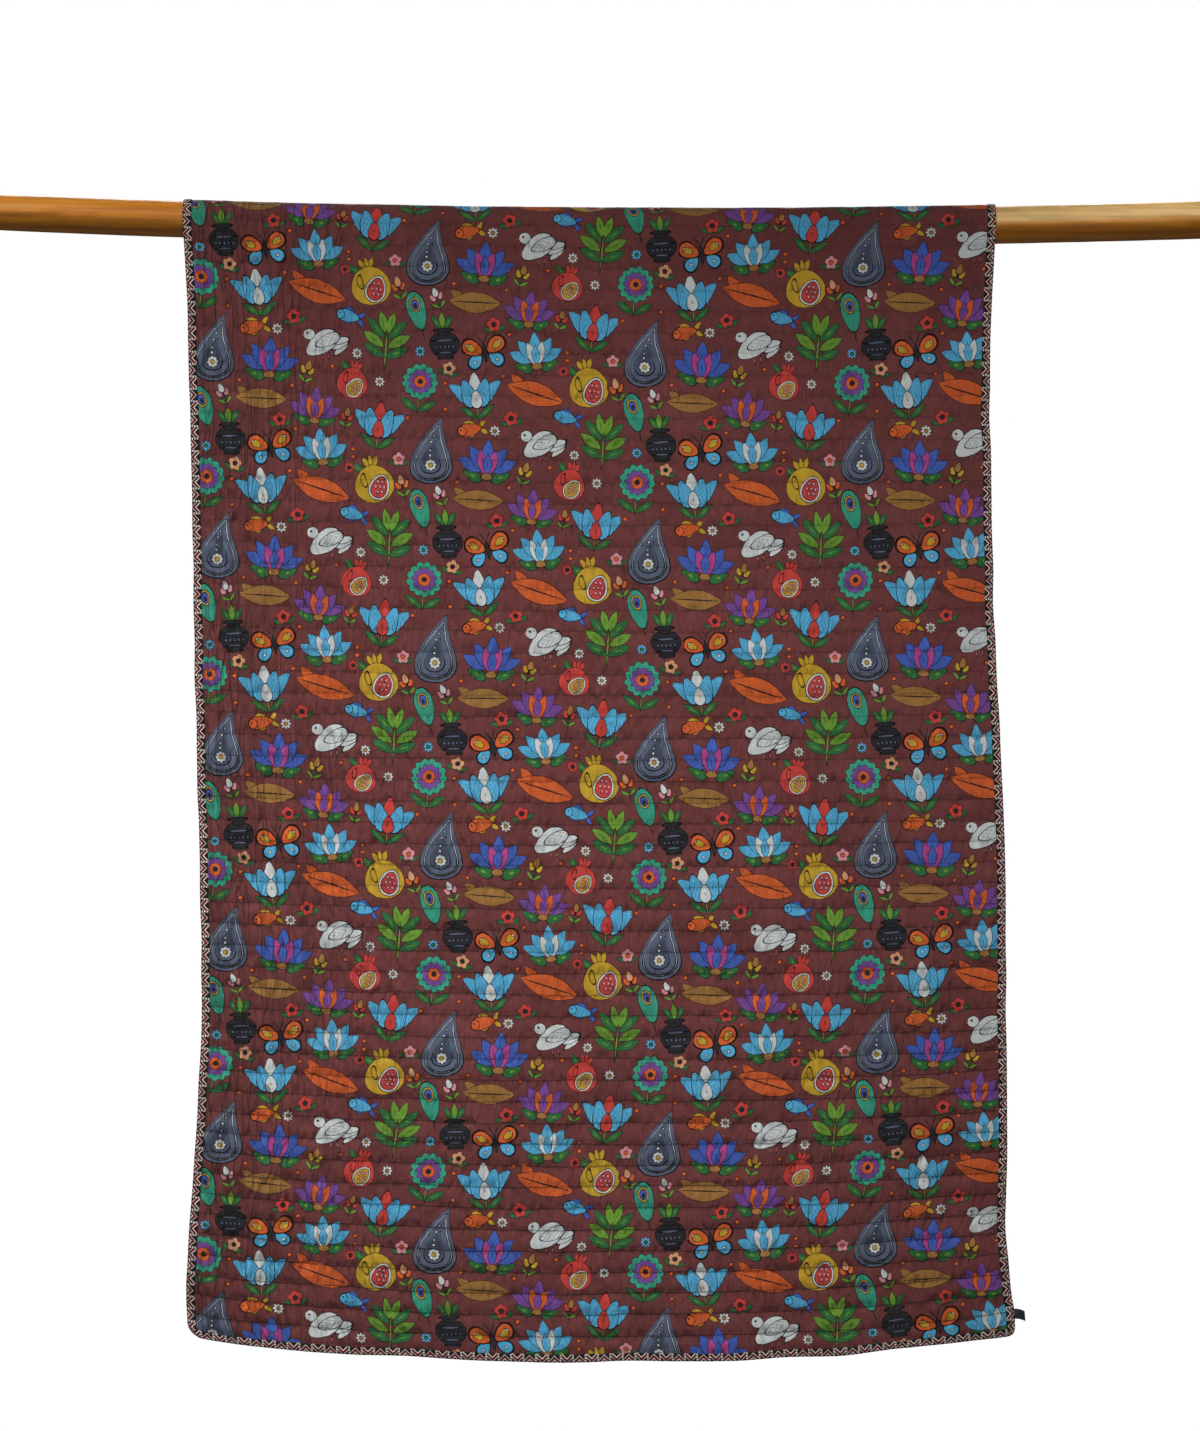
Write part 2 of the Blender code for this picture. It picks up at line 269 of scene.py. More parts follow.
def metres_up(channel):
    """Length of cloth from the front hem, in metres."""
    flap = np.clip(channel - FLAP_LINE, 0, 1) * (FLAP_LENGTH - FLAP_CHANNEL)
    return np.clip(channel, 0, 1) * HEM_CHANNEL + np.clip(channel - 1, 0, FLAP_LINE - 1) * CHANNEL + flap


def edge_x(share, depth):
    """X at a share of the width and a share of the front's depth."""
    left, right = curve_through(SIDE_EDGES, 1, depth), curve_through(SIDE_EDGES, 2, depth)
    return left + (right - left) * share


def fold_height(share, depth):
    """Sum of the soft folds and creases: each a bell across its line, growing and fading along it.

    The press marks are bells across level lines.
    """
    total = 0.0
    width = edge_x(1.0, depth) - edge_x(0.0, depth)
    for top, foot, start, end, half_width, height in FOLDS + CREASES:
        along = np.clip((depth - start) / (end - start), 0.0, 1.0)
        across = (share - top - (foot - top) * along) * width / half_width
        total = total + height * np.exp(-(across**2)) * np.sin(math.pi * along) ** 2
    for mark in PRESS_MARKS:
        from_mark = (depth - mark) * FRONT_DROP / PRESS_HALF_WIDTH
        total = total + PRESS_HEIGHT * np.exp(-(from_mark**2)) * ease(depth / FREE_DEPTH)
    return total


def crinkle_height(share, channel, depth):
    """Gathers that run from line to line of stitching, broad waves, and ripples along the bound edges.

    The gathers are tallest beside the lines and fade towards the middle of each channel.
    """
    across, up = share * CUT_WIDTH, metres_up(channel)
    beside_line = (2.0 * np.abs(channel % 1.0 - 0.5)) ** 1.5
    strength = 0.30 + 0.70 * beside_line * depth
    gathers = soft_noise(across, up, 0.013, 0.055, 1) * FINE_GATHER
    gathers = gathers + soft_noise(across, up, 0.024, 0.030, 2) * COARSE_GATHER * strength
    waves = soft_noise(across, up, 0.12, 0.17, 3) * BROAD_WAVE
    waves = waves + soft_noise(across, up, 0.05, 0.08, 9) * SMALL_WAVE
    edge = np.exp(-np.minimum(share, 1.0 - share) * CUT_WIDTH / EDGE_RIPPLE_FADE)
    ripples = edge * soft_noise(share * 9.0, up, 1.0, 0.055, 4) * EDGE_RIPPLE
    return ease(depth / FREE_DEPTH) * (gathers + waves + ripples)


def round_corner(share, channel):
    """Steps that round the lower corners: at each, a square of cloth drawn in to a quarter circle."""
    right = rise = 0.0
    for inside, rounding, inward in ((share, LEFT_ROUNDING, 1.0), (1.0 - share, RIGHT_ROUNDING, -1.0)):
        across = np.clip(1.0 - inside * CUT_WIDTH / rounding, 0.0, 1.0)
        up = np.clip(1.0 - metres_up(channel) / rounding, 0.0, 1.0)
        right = right + inward * rounding * across * (1.0 - np.sqrt(1.0 - up**2 / 2.0))
        rise = rise + rounding * up * (1.0 - np.sqrt(1.0 - across**2 / 2.0))
    return right, rise


def edge_lift(share):
    """The bound edges stand off the pole by the binding that passes under them."""
    bound = (BINDING_WIDTH + BINDING_MARGIN) / CUT_WIDTH
    inside = np.minimum(share, 1.0 - share) - bound
    return (BINDING_CLOTH + PIECE_GAP) * (1.0 - ease(inside / bound / 2.0))


def cloth_middle(share, channel):
    """Middle of the cloth's thickness, and the way that its printed face looks.

    It hangs straight down in front, brought forward by folds and gathers, goes round the pole on a
    half circle, and hangs down behind.
    """
    depth = front_depth(channel)
    turn = math.pi * np.clip((channel - FRONT_TANGENT) / (BACK_TANGENT - FRONT_TANGENT), 0.0, 1.0)
    flap = np.clip(channel - BACK_TANGENT, 0, 1) * FLAP_CHANNEL
    flap = flap + np.clip(channel - FLAP_LINE, 0, 1) * (FLAP_LENGTH - FLAP_CHANNEL)
    corner_x, corner_z = round_corner(share, channel)
    x = edge_x(share, depth) + corner_x
    sideways = soft_noise(share * 3.0, metres_up(channel), 1.0, 0.07, 5) * EDGE_WANDER
    x = x + sideways * ease(depth / FREE_DEPTH)
    reach = pole_radius(x) + POLE_GAP + edge_lift(share) + HALF_STITCHED
    rise = curve_through(HEM_RISE, 1, share)
    forward = fold_height(share, depth) + crinkle_height(share, channel, depth)
    wander = soft_noise(share * CUT_WIDTH, channel, 0.10, 1.1, 6) * LINE_WANDER
    wander = wander * ease(depth / LINE_FREE_DEPTH)
    y = -reach * np.cos(turn) - forward
    z = pole_centre(x) * (1.0 - depth) + HEM_LOWEST * depth + (rise + wander) * depth**3
    z = z + wander * (1.0 - depth**3) + reach * np.sin(turn) - flap + corner_z
    facing = np.stack([0.0 * x, -np.cos(turn), np.sin(turn)], axis=-1)
    return np.stack([x, y, z], axis=-1), facing


def channel_puff(share, channel):
    """Height of the filling above the stitching: a crown in each channel that sags towards its foot.

    The filling is uneven along each channel, and it fades out towards the binding.
    """
    under_binding = BINDING_WIDTH / HEM_CHANNEL
    hem_part = np.clip((channel - under_binding) / (1 - under_binding), 0, 1)
    part = np.where(channel < 1, hem_part, channel % 1.0)
    part = np.where(channel > FLAP_LINE, 0.0, part)
    depth = front_depth(channel)
    sag = part ** (0.86 - 0.18 * depth)
    crown = (4.0 * sag * (1.0 - sag)) ** 0.8
    height = PUFF_AT_TOP + (PUFF_AT_HEM - PUFF_AT_TOP) * depth**2
    across = share * CUT_WIDTH
    row = np.floor(channel)
    uneven = 1.0 + 0.34 * soft_noise(across, row, 0.060, 1.0, 7)
    uneven = uneven + (0.16 + 0.14 * depth) * soft_noise(across, row, 0.019, 1.0, 8)
    inside = np.minimum(share, 1.0 - share) * CUT_WIDTH - BINDING_WIDTH
    return height * crown * uneven * ease(inside / PUFF_FADE)


def grid_mesh(name, points, closed_rows=False, closed_columns=False, flip=False):
    """A mesh of quads on a grid of points, which may join its ends along either direction."""
    rows, columns = points.shape[:2]
    row = np.arange(rows if closed_rows else rows - 1)[:, None]
    column = np.arange(columns if closed_columns else columns - 1)[None, :]
    right, up = (column + 1) % columns, (row + 1) % rows
    quads = [row * columns + column, row * columns + right, up * columns + right, up * columns + column]
    quads = np.stack(quads[::-1] if flip else quads, axis=-1).reshape(-1, 4)
    mesh = bpy.data.meshes.new(name)
    mesh.from_pydata(points.reshape(-1, 3), [], quads)
    mesh.update()
    mesh.shade_smooth()
    piece = bpy.data.objects.new(name, mesh)
    bpy.context.scene.collection.objects.link(piece)
    return piece


def set_uv(piece, name, places):
    """Give each corner of the mesh its place in a UV map; places has one row for each corner."""
    layer = piece.data.uv_layers.new(name=name)
    layer.uv.foreach_set("vector", np.asarray(places, dtype=np.float32).ravel())


def corners_of(piece):
    """The vertex index at each corner of the mesh."""
    corners = np.empty(len(piece.data.loops), dtype=np.int32)
    piece.data.loops.foreach_get("vertex_index", corners)
    return corners


# Columns across each sheet, and rows up each of its channels.
FACE_GRID = (280, 6)
LINING_GRID = (150, 5)


def add_cloth(name, side, grid):
    """The printed face (side 1) or the lining (side -1): half the stitched thickness and the puff.

    The grid is even over the whole cloth, with rows on the stitching.
    """
    columns, rows_per_channel = grid
    share = np.linspace(0.0, 1.0, columns + 1)
    channel = np.linspace(0.0, FLAP_HEM, FLAP_HEM * rows_per_channel + 1)
    share, channel = np.meshgrid(share, channel)
    middle, facing = cloth_middle(share, channel)
    puff = channel_puff(share, channel)
    on_pole = ease((channel - FRONT_TANGENT + POLE_FADE) / POLE_FADE)
    on_pole = on_pole * ease((BACK_TANGENT + POLE_FADE - channel) / POLE_FADE)
    puff = puff * (0.5 + FACE_PUFF_SHARE * side + (0.5 - FACE_PUFF_SHARE) * side * on_pole)
    points = middle + facing * (side * (HALF_STITCHED + puff))[..., None]
    piece = grid_mesh(name, points, flip=side < 0)
    corners = corners_of(piece)
    flat = np.stack([share * CUT_WIDTH, metres_up(channel)], axis=-1).reshape(-1, 2)[corners]
    set_uv(piece, "cloth", flat)
    own = np.stack([share, channel / FLAP_HEM], axis=-1).reshape(-1, 2)[corners]
    set_uv(piece, "OFBake", own)
    if side > 0:
        lay_print(piece, flat)
    return piece


# The binding's own picture lays the strip out in lines, one above another.
STRIP_LINES = 17
STRIP_LINE = 0.46


def add_binding():
    """The folded strip: a rounded section carried round the whole edge, mitred at the corners."""
    # Each point of the way is a channel, a share, and the steps of both for each metre inwards.
    across, up, down = 1.0 / CUT_WIDTH, 1.0 / HEM_CHANNEL, -1.0 / (FLAP_LENGTH - FLAP_CHANNEL)
    shares = np.linspace(0.0, 1.0, 211)[1:-1]
    sides = np.linspace(0.0, FLAP_HEM, FLAP_HEM * 7 + 1)[1:-1]
    way = [(0, 0, up, across)]
    way += [(0, share, up, 0) for share in shares]
    way += [(0, 1, up, -across)]
    way += [(channel, 1, 0, -across) for channel in sides]
    way += [(FLAP_HEM, 1, down, -across)]
    way += [(FLAP_HEM, share, down, 0) for share in shares[::-1]]
    way += [(FLAP_HEM, 0, down, across)]
    way += [(channel, 0, 0, across) for channel in sides[::-1]]
    channel, share, channel_step, share_step = np.array(way, dtype=float).T[:, :, None]
    near = HALF_STITCHED + PIECE_GAP
    far = near + BINDING_CLOTH
    bend = np.radians(np.arange(-60, 61, 30))
    # The section runs from the inner edge round the fold to the other inner edge, and back inside.
    front_inward = np.array([BINDING_WIDTH, BINDING_WIDTH + 0.0002, BINDING_WIDTH - 0.0008, 0.010, 0.004])
    front_height = np.array([near, near + 0.0004, far, far + 0.0004, far + 0.0002])
    inward = [front_inward, -BINDING_OVERHANG * np.cos(bend), front_inward[::-1], [0.0, -PIECE_GAP, 0.0]]
    height = [front_height, -far * np.sin(bend), -front_height[::-1], [-near, 0.0, near]]
    inward, height = np.concatenate(inward), np.concatenate(height)
    middle, facing = cloth_middle(share + inward * share_step, channel + inward * channel_step)
    points = middle + facing * height[None, :, None]
    piece = grid_mesh("binding_strip", points, closed_rows=True, closed_columns=True)

    edge = middle[:, 0]
    steps = np.linalg.norm(np.roll(edge, -1, axis=0) - edge, axis=-1)
    along = np.concatenate([[0.0], np.cumsum(steps)])
    section = np.stack([inward, height], axis=-1)
    steps = np.linalg.norm(np.roll(section, -1, axis=0) - section, axis=-1)
    around = np.concatenate([[0.0], np.cumsum(steps)])
    fold = around[len(front_inward) + len(bend) // 2]
    start, end = np.meshgrid(along[:-1], around[:-1], indexing="ij")
    next_start, next_end = np.meshgrid(along[1:], around[1:], indexing="ij")
    places = np.stack([start, end, start, next_end, next_start, next_end, next_start, end], axis=-1)
    places = places.reshape(-1, 4, 2)
    set_uv(piece, "strip", places - (0.0, fold))
    line = np.floor(places[:, :1, 0] / STRIP_LINE)
    own = [(places[..., 0] - line * STRIP_LINE) / STRIP_LINE / 1.05]
    own += [(line + 0.08 + 0.84 * places[..., 1] / around[-1]) / STRIP_LINES]
    set_uv(piece, "OFBake", np.stack(own, axis=-1))
    return piece


# ---------------------------------------------------------------- colours and nodes


def linear(hex_colour):
    """An sRGB hex colour as linear red, green, blue and alpha."""
    channels = [int(hex_colour[i : i + 2], 16) / 255 for i in (1, 3, 5)]
    return [c / 12.92 if c <= 0.04045 else ((c + 0.055) / 1.055) ** 2.4 for c in channels] + [1.0]


def add_node(tree, kind, inputs=None, output=0, **settings):
    """Add a node, set its settings, give its inputs their values or links, and return one output."""
    node = tree.nodes.new("ShaderNode" + kind)
    for name, value in settings.items():
        setattr(node, name, value)
    for name, value in (inputs or {}).items():
        if isinstance(value, bpy.types.NodeSocket):
            tree.links.new(value, node.inputs[name])
        else:
            node.inputs[name].default_value = value
    return node.outputs[output]


def set_bands(ramp, bands, mode="CONSTANT"):
    """Give a colour ramp its bands, each a position and a linear colour, in rising order."""
    ramp.interpolation = mode
    for position, colour in bands[:-1]:
        ramp.elements.new(position).color = colour
    ramp.elements.remove(ramp.elements[0])
    ramp.elements[-1].position, ramp.elements[-1].color = bands[-1]


def new_material(name):
    """A material whose tree holds its Principled shader and its output."""
    material = bpy.data.materials.new(name)
    material.use_nodes = True
    return material, material.node_tree, material.node_tree.nodes["Principled BSDF"]


# ---------------------------------------------------------------- printed motifs

# The dark outline of every shape, and the widths of outlines and veins in millimetres.
INK = "#1f1a1d"
INK_LINE = 1.5
VEIN_LINE = 1.2
# The outlines waver by this much to either side, in millimetres, as hand-cut blocks print them.
WAVER = 1.2
CLEAR = (0.0, 0.0, 0.0, 0.0)
DYES = {
    "slate": "#596278", "white": "#cdd2d1", "royal": "#4561b6", "magenta": "#b0468c",
    "orange": "#d5602b", "leaf": "#6d9a33", "green": "#2f6b39", "sky": "#57aed8",
    "mustard": "#c39c2b", "red": "#c6413a", "pink": "#dc8f98", "teal": "#3aa387",
    "purple": "#7a4a98", "black": "#26252b", "ochre": "#a3743a", "tan": "#d79a72",
}


class PrintBlock:
    """Prints one motif over the ground colour, layer over layer.

    Places and sizes are in millimetres from the motif's middle. Each layer is a shape with its own
    ratio, 0 in its middle and 1 on its outline, and its bands run from the outline inwards.
    """

    def __init__(self, tree, ground):
        self.tree = tree
        self.colour = ground
        place = add_node(tree, "UVMap", uv_map="motif")
        waver = add_node(tree, "TexNoise", {"Vector": place, "Scale": 0.11, "Detail": 1.0}, 1)
        place = add_node(tree, "VectorMath", {0: place, 1: (WAVER, WAVER, 0)}, operation="SUBTRACT")
        wavered = {0: waver, 1: (2 * WAVER, 2 * WAVER, 0), 2: place}
        self.place = add_node(tree, "VectorMath", wavered, operation="MULTIPLY_ADD")
        x, y = self.split(self.place)
        across = add_node(tree, "Math", {0: x}, operation="ABSOLUTE")
        self.mirrored = add_node(tree, "CombineXYZ", {"X": across, "Y": y})
        self.first_dye = add_node(tree, "Attribute", attribute_name="first_dye")
        self.second_dye = add_node(tree, "Attribute", attribute_name="second_dye")

    def split(self, vector):
        """The X and Y of a vector."""
        x = add_node(self.tree, "SeparateXYZ", {0: vector})
        return x, x.node.outputs[1]

    def local(self, x, y, turn, width, height, twice):
        """The place in a shape's own axes, where its outline lies about 1 from its middle."""
        place = {
            "Vector": self.mirrored if twice else self.place,
            "Location": (x, y, 0.0),
            "Rotation": (0.0, 0.0, math.radians(turn)),
            "Scale": (width, height, 1.0),
        }
        return self.split(add_node(self.tree, "Mapping", place, vector_type="TEXTURE"))

    def paint(self, ratio, power, size, bands, veins=None):
        """Lay the bands over what is there. A band is a dye's name and the ratio that it starts at."""
        dye = {"first": self.first_dye, "second": self.second_dye}
        dye = next((dye[band] for band, _ in bands if band in dye), None)
        rim = 1.0 - INK_LINE / size
        starts = [band[1] * rim for band in bands[1:]] + [0.0]
        stops = [(start**power, self.ink(name)) for start, (name, _) in zip(starts, bands)][::-1]
        stops += [(rim**power, linear(INK)), (1.0, CLEAR)]
        ramp = add_node(self.tree, "ValToRGB", {0: ratio})
        set_bands(ramp.node.color_ramp, stops)
        colour, covers = ramp, ramp.node.outputs["Alpha"]
        if dye:
            colour = self.mix(1.0, ramp, dye, "MULTIPLY")
        if veins:
            colour = self.mix(veins, colour, linear(INK))
        self.colour = self.mix(covers, self.colour, colour)

    def mix(self, factor, under, over, blend="MIX"):
        """One colour over another."""
        layers = {0: factor, 6: under, 7: over}
        return add_node(self.tree, "Mix", layers, 2, data_type="RGBA", blend_type=blend)

    def ink(self, name):
        """The colour of a band: white where a face's own dye multiplies it, and grey for a shade of it."""
        shades = {"first": 1.0, "second": 1.0, "shade": 0.55}
        return [shades[name]] * 3 + [1.0] if name in shades else linear(DYES.get(name, INK))

    def leaf(self, x, y, turn, width, height, bands, twice=False, veins=0):
        """A leaf with two pointed ends: its ratio is the distance from its midrib plus height squared."""
        across, up = self.local(x, y, turn, width, height, twice)
        across = add_node(self.tree, "Math", {0: across}, operation="ABSOLUTE")
        ratio = add_node(self.tree, "Math", {0: up, 1: up, 2: across}, operation="MULTIPLY_ADD")
        self.paint(ratio, 1, min(width, height), bands, self.veins(across, up, veins, -1.2, height))

    def drop(self, x, y, turn, width, height, bands, taper=0.0, bend=0.0, twice=False, veins=0):
        """An oval that narrows upwards by its taper and curls over by its bend; its ratio is squared."""
        across, up = self.local(x, y, turn, width, height, twice)
        square = add_node(self.tree, "Math", {0: up, 1: up}, operation="MULTIPLY")
        if bend:
            curl = add_node(self.tree, "Math", {0: up, 1: 0.4}, operation="ADD")
            curl = add_node(self.tree, "Math", {0: curl, 1: 0.0}, operation="MAXIMUM")
            curl = add_node(self.tree, "Math", {0: curl, 1: curl}, operation="MULTIPLY")
            across = add_node(self.tree, "Math", {0: curl, 1: -bend, 2: across}, operation="MULTIPLY_ADD")
        if taper:
            narrow = add_node(self.tree, "Math", {0: up, 1: -taper, 2: 1.0}, operation="MULTIPLY_ADD")
            narrow = add_node(self.tree, "Math", {0: narrow, 1: 0.05}, operation="MAXIMUM")
            across = add_node(self.tree, "Math", {0: across, 1: narrow}, operation="DIVIDE")
        ratio = add_node(self.tree, "Math", {0: across, 1: across, 2: square}, operation="MULTIPLY_ADD")
        across = add_node(self.tree, "Math", {0: across}, operation="ABSOLUTE")
        self.paint(ratio, 2, min(width, height), bands, self.veins(across, up, veins, 0.8, height))

    def veins(self, across, up, count, lean, height):
        """1 on thin lines that lean up from the midrib, and 0 between them."""
        if not count:
            return None
        rise = add_node(self.tree, "Math", {0: across, 1: lean, 2: up}, operation="MULTIPLY_ADD")
        rise = add_node(self.tree, "Math", {0: rise, 1: count}, operation="MULTIPLY")
        line = add_node(self.tree, "Math", {0: rise, 1: 0.5}, operation="PINGPONG")
        half_line = VEIN_LINE / 2 * count / height
        return add_node(self.tree, "Math", {0: line, 1: half_line}, operation="LESS_THAN")

    def petals(self, x, y, turn, size, count, depth, bands):
        """A flower of round petals: the distance from its middle over a scalloped outline."""
        across, up = self.local(x, y, turn, size, size, False)
        angle = add_node(self.tree, "Math", {0: up, 1: across}, operation="ARCTAN2")
        angle = add_node(self.tree, "Math", {0: angle, 1: count / 2}, operation="MULTIPLY")
        scallop = add_node(self.tree, "Math", {0: angle}, operation="COSINE")
        scallop = add_node(self.tree, "Math", {0: scallop}, operation="ABSOLUTE")
        outline = {0: scallop, 1: depth, 2: 1.0 - depth}
        outline = add_node(self.tree, "Math", outline, operation="MULTIPLY_ADD")
        flat = add_node(self.tree, "CombineXYZ", {"X": across, "Y": up})
        away = add_node(self.tree, "VectorMath", {0: flat}, 1, operation="LENGTH")
        ratio = add_node(self.tree, "Math", {0: away, 1: outline}, operation="DIVIDE")
        self.paint(ratio, 1, size, bands)


def paisley(block):
    """A curled teardrop with a light line round it and a flower in its round end."""
    block.drop(-7, -3, 0, 38, 68, [("first", 1)], taper=0.78, bend=0.50)
    block.drop(-7, -6, 0, 31, 58, [("second", 1)], taper=0.78, bend=0.50)
    block.drop(-7, -6.5, 0, 28.5, 54.5, [("first", 1)], taper=0.78, bend=0.50)
    block.drop(-8, -15, 0, 18, 34, [("first", 1), ("shade", 0.88)], taper=0.80, bend=0.50)
    block.petals(-8, -30, 0, 13, 8, 0.25, [("second", 1)])
    block.petals(-8, -30, 0, 5.5, 1, 0.0, [("mustard", 1)])
    for x, y, size in ((-7, -10, 3.8), (-5, 0, 3.2), (0, 16, 3.4), (7, 28, 3.0)):
        block.drop(x, y, 0, size, size, [("second", 1)])


def lotus(block):
    """Three tiers of pointed petals over two leaves and a stem."""
    block.drop(34, -34, -66, 12, 26, [("green", 1), ("leaf", 0.25)], taper=0.4, twice=True)
    block.leaf(40, -8, -64, 15, 34, [("first", 1)], twice=True, veins=3)
    block.leaf(0, 14, 0, 17, 42, [("first", 1), ("shade", 0.12)])
    block.leaf(23, 6, -36, 16, 38, [("first", 1)], twice=True, veins=3)
    block.leaf(11, -2, -16, 13, 33, [("second", 1), ("shade", 0.15)], twice=True)
    block.leaf(0, -6, 0, 11, 26, [("first", 1), ("shade", 0.15)])
    block.drop(0, -34, 0, 15, 9, [("ochre", 1)], taper=0.3)


def striped_leaf(block):
    """A long leaf with dark veins, and a small one beside its stalk."""
    block.leaf(-40, 22, 46, 12, 24, [("second", 1)], veins=3)
    block.leaf(2, -2, 79, 27, 70, [("first", 1)], veins=6)
    block.leaf(2, -2, 79, 1.8, 70, [("ink", 1)])


def fern(block):
    """A tall sprig of paired leaflets in two greens."""
    block.leaf(0, -16, 0, 3.4, 48, [("leaf", 1)])
    block.leaf(25, -20, -64, 11, 29, [("green", 1), ("leaf", 0.14)], twice=True)
    block.leaf(28, 4, -58, 12, 30, [("first", 1), ("shade", 0.14)], twice=True, veins=3)
    block.leaf(23, 28, -44, 11, 30, [("green", 1), ("leaf", 0.14)], twice=True)
    block.leaf(9, 42, -16, 10, 26, [("first", 1), ("shade", 0.14)], twice=True)


def tulip(block):
    """A flower of six petals, its inner ones in the second dye, on a stem with two leaves."""
    block.leaf(0, -34, 0, 2.6, 22, [("leaf", 1)])
    block.leaf(19, -34, -52, 8, 25, [("green", 1), ("leaf", 0.15)], twice=True)
    block.drop(32, 12, -38, 15, 33, [("first", 1)], taper=0.45, bend=0.3, twice=True, veins=2.4)
    block.drop(0, 20, 0, 16, 36, [("second", 1)], taper=0.40)
    block.drop(17, 8, -14, 16, 34, [("first", 1)], taper=0.40, twice=True, veins=2.4)
    block.drop(0, -6, 0, 13, 21, [("second", 1), ("shade", 0.2)], taper=0.35)


def pomegranate(block):
    """A round fruit with a crown, cut open to show its seeds, and one leaf."""
    block.leaf(-28, 34, 50, 9, 25, [("green", 1), ("leaf", 0.15)])
    block.leaf(10, 44, -26, 7, 15, [("first", 1)], twice=True)
    block.leaf(0, 46, 0, 6, 15, [("first", 1)])
    block.drop(0, -4, 0, 44, 42, [("first", 1)], taper=0.12)
    block.drop(-22, 6, 14, 7, 17, [("shade", 1), ("first", 0.9)], bend=0.4)
    block.drop(10, -13, -30, 23, 30, [("white", 1)], taper=0.2)
    block.drop(10, -13, -30, 18, 25, [("second", 1)], taper=0.2)
    for x, y in ((4, -22), (14, -24), (2, -10), (12, -12), (20, -15), (9, 0), (18, -3)):
        block.drop(x, y, -20, 4.0, 5.0, [("pink", 1)], taper=0.3)


def marigold(block):
    """A full round flower of three rings of petals, on a stem with two leaves."""
    block.leaf(0, -36, 0, 2.6, 24, [("leaf", 1)])
    block.leaf(20, -38, -56, 9, 25, [("green", 1), ("leaf", 0.15)], twice=True)
    block.petals(0, 14, 0, 41, 13, 0.16, [("first", 1), ("shade", 0.80), ("first", 0.77)])
    block.petals(0, 14, 15, 28, 11, 0.18, [("second", 1), ("shade", 0.80), ("second", 0.76)])
    block.petals(0, 14, 0, 16, 9, 0.22, [("orange", 1)])
    block.petals(0, 14, 0, 6, 1, 0.0, [("black", 1)])


def dove(block):
    """A plain bird in profile with folded wing and fanned tail."""
    for turn in (56, 70, 84):
        block.drop(34, -13 + (turn - 70) * 0.6, -turn, 8, 24, [("first", 1)], taper=-0.3)
    block.drop(-46, 21, 66, 3.4, 8, [("orange", 1)], taper=0.6)
    block.leaf(-10, -34, 8, 2.2, 10, [("second", 1)])
    block.leaf(4, -34, -4, 2.2, 10, [("second", 1)])
    block.drop(-8, -3, -62, 24, 42, [("first", 1)], taper=-0.25)
    block.drop(-32, 21, 0, 14, 13, [("first", 1)])
    block.drop(7, 1, -74, 14, 31, [("first", 1)], taper=-0.25, veins=2.2)
    block.drop(-35, 24, 0, 2.6, 2.6, [("ink", 1)])


def butterfly(block):
    """Two pairs of wings with dark rims and spots, and a slim body."""
    block.drop(25, -18, -128, 16, 22, [("ink", 1), ("second", 0.88)], taper=-0.3, twice=True)
    block.drop(28, 13, -58, 20, 29, [("ink", 1), ("first", 0.88)], taper=-0.35, twice=True)
    block.drop(31, 13, -58, 9, 13, [("mustard", 1)], taper=-0.3, twice=True)
    block.drop(39, 20, 0, 3.6, 3.6, [("white", 1)], twice=True)
    block.drop(27, -20, 0, 4.6, 4.6, [("white", 1)], twice=True)
    block.leaf(8, 34, -28, 1.4, 13, [("ink", 1)], twice=True)
    block.drop(0, 0, 0, 5, 24, [("black", 1)], taper=0.2)


def urn(block):
    """A round water pot with bands, and three leaves in its mouth."""
    block.leaf(14, 38, -34, 8, 19, [("green", 1), ("leaf", 0.15)], twice=True)
    block.leaf(0, 42, 0, 8, 20, [("leaf", 1)])
    block.drop(0, -46, 0, 20, 6, [("first", 1)])
    block.drop(0, -16, 0, 36, 31, [("first", 1)], taper=-0.10)
    block.drop(0, 14, 0, 15, 9, [("first", 1)])
    block.drop(0, 20, 0, 25, 6, [("first", 1)])
    block.drop(0, -6, 0, 33, 3.6, [("second", 1)])
    block.drop(0, -34, 0, 27, 3.2, [("second", 1)])
    for x in (-20, -10, 0, 10, 20):
        block.drop(x, -21, 0, 3.6, 5.5, [("second", 1)], taper=0.4)


def fish(block):
    """A plump fish with scales, two fins and a forked tail."""
    block.leaf(27, 8, -48, 6, 14, [("second", 1)])
    block.leaf(27, -8, -132, 6, 14, [("second", 1)])
    block.leaf(0, 13, 70, 7, 15, [("second", 1)])
    block.leaf(0, -12, 110, 5, 11, [("second", 1)])
    block.drop(-3, 0, -90, 14, 29, [("first", 1)], taper=0.30, veins=3)
    block.drop(-21, 0, -90, 11, 10, [("first", 1)])
    block.drop(-23, 3, 0, 2.2, 2.2, [("ink", 1)])


def feather(block):
    """An upright feather with an eye of three rings."""
    block.leaf(0, -36, 0, 1.8, 26, [("ochre", 1)])
    block.drop(0, 8, 0, 22, 46, [("first", 1)], taper=-0.20, veins=6)
    block.drop(0, 22, 0, 13, 18, [("mustard", 1)], taper=-0.15)
    block.drop(0, 22, 0, 9, 13, [("second", 1)], taper=-0.15)
    block.drop(0, 20, 0, 4, 6, [("black", 1)])


def rosette(block):
    """A small flower with five petals and a dark eye, on two leaves."""
    block.leaf(15, -9, -66, 6, 16, [("green", 1)], twice=True)
    block.petals(0, 2, 18, 18, 5, 0.30, [("first", 1), ("shade", 0.45), ("first", 0.38)])
    block.petals(0, 2, 0, 6, 1, 0.0, [("second", 1)])


def sprig(block):
    """A small branch with three buds in the two dyes."""
    block.leaf(0, -10, 0, 2.2, 24, [("green", 1)])
    block.leaf(9, -14, -52, 4.5, 13, [("leaf", 1)], twice=True)
    block.drop(10, 6, -32, 6.5, 12, [("second", 1)], taper=0.5, twice=True)
    block.drop(0, 18, 0, 8, 14, [("first", 1)], taper=0.5)


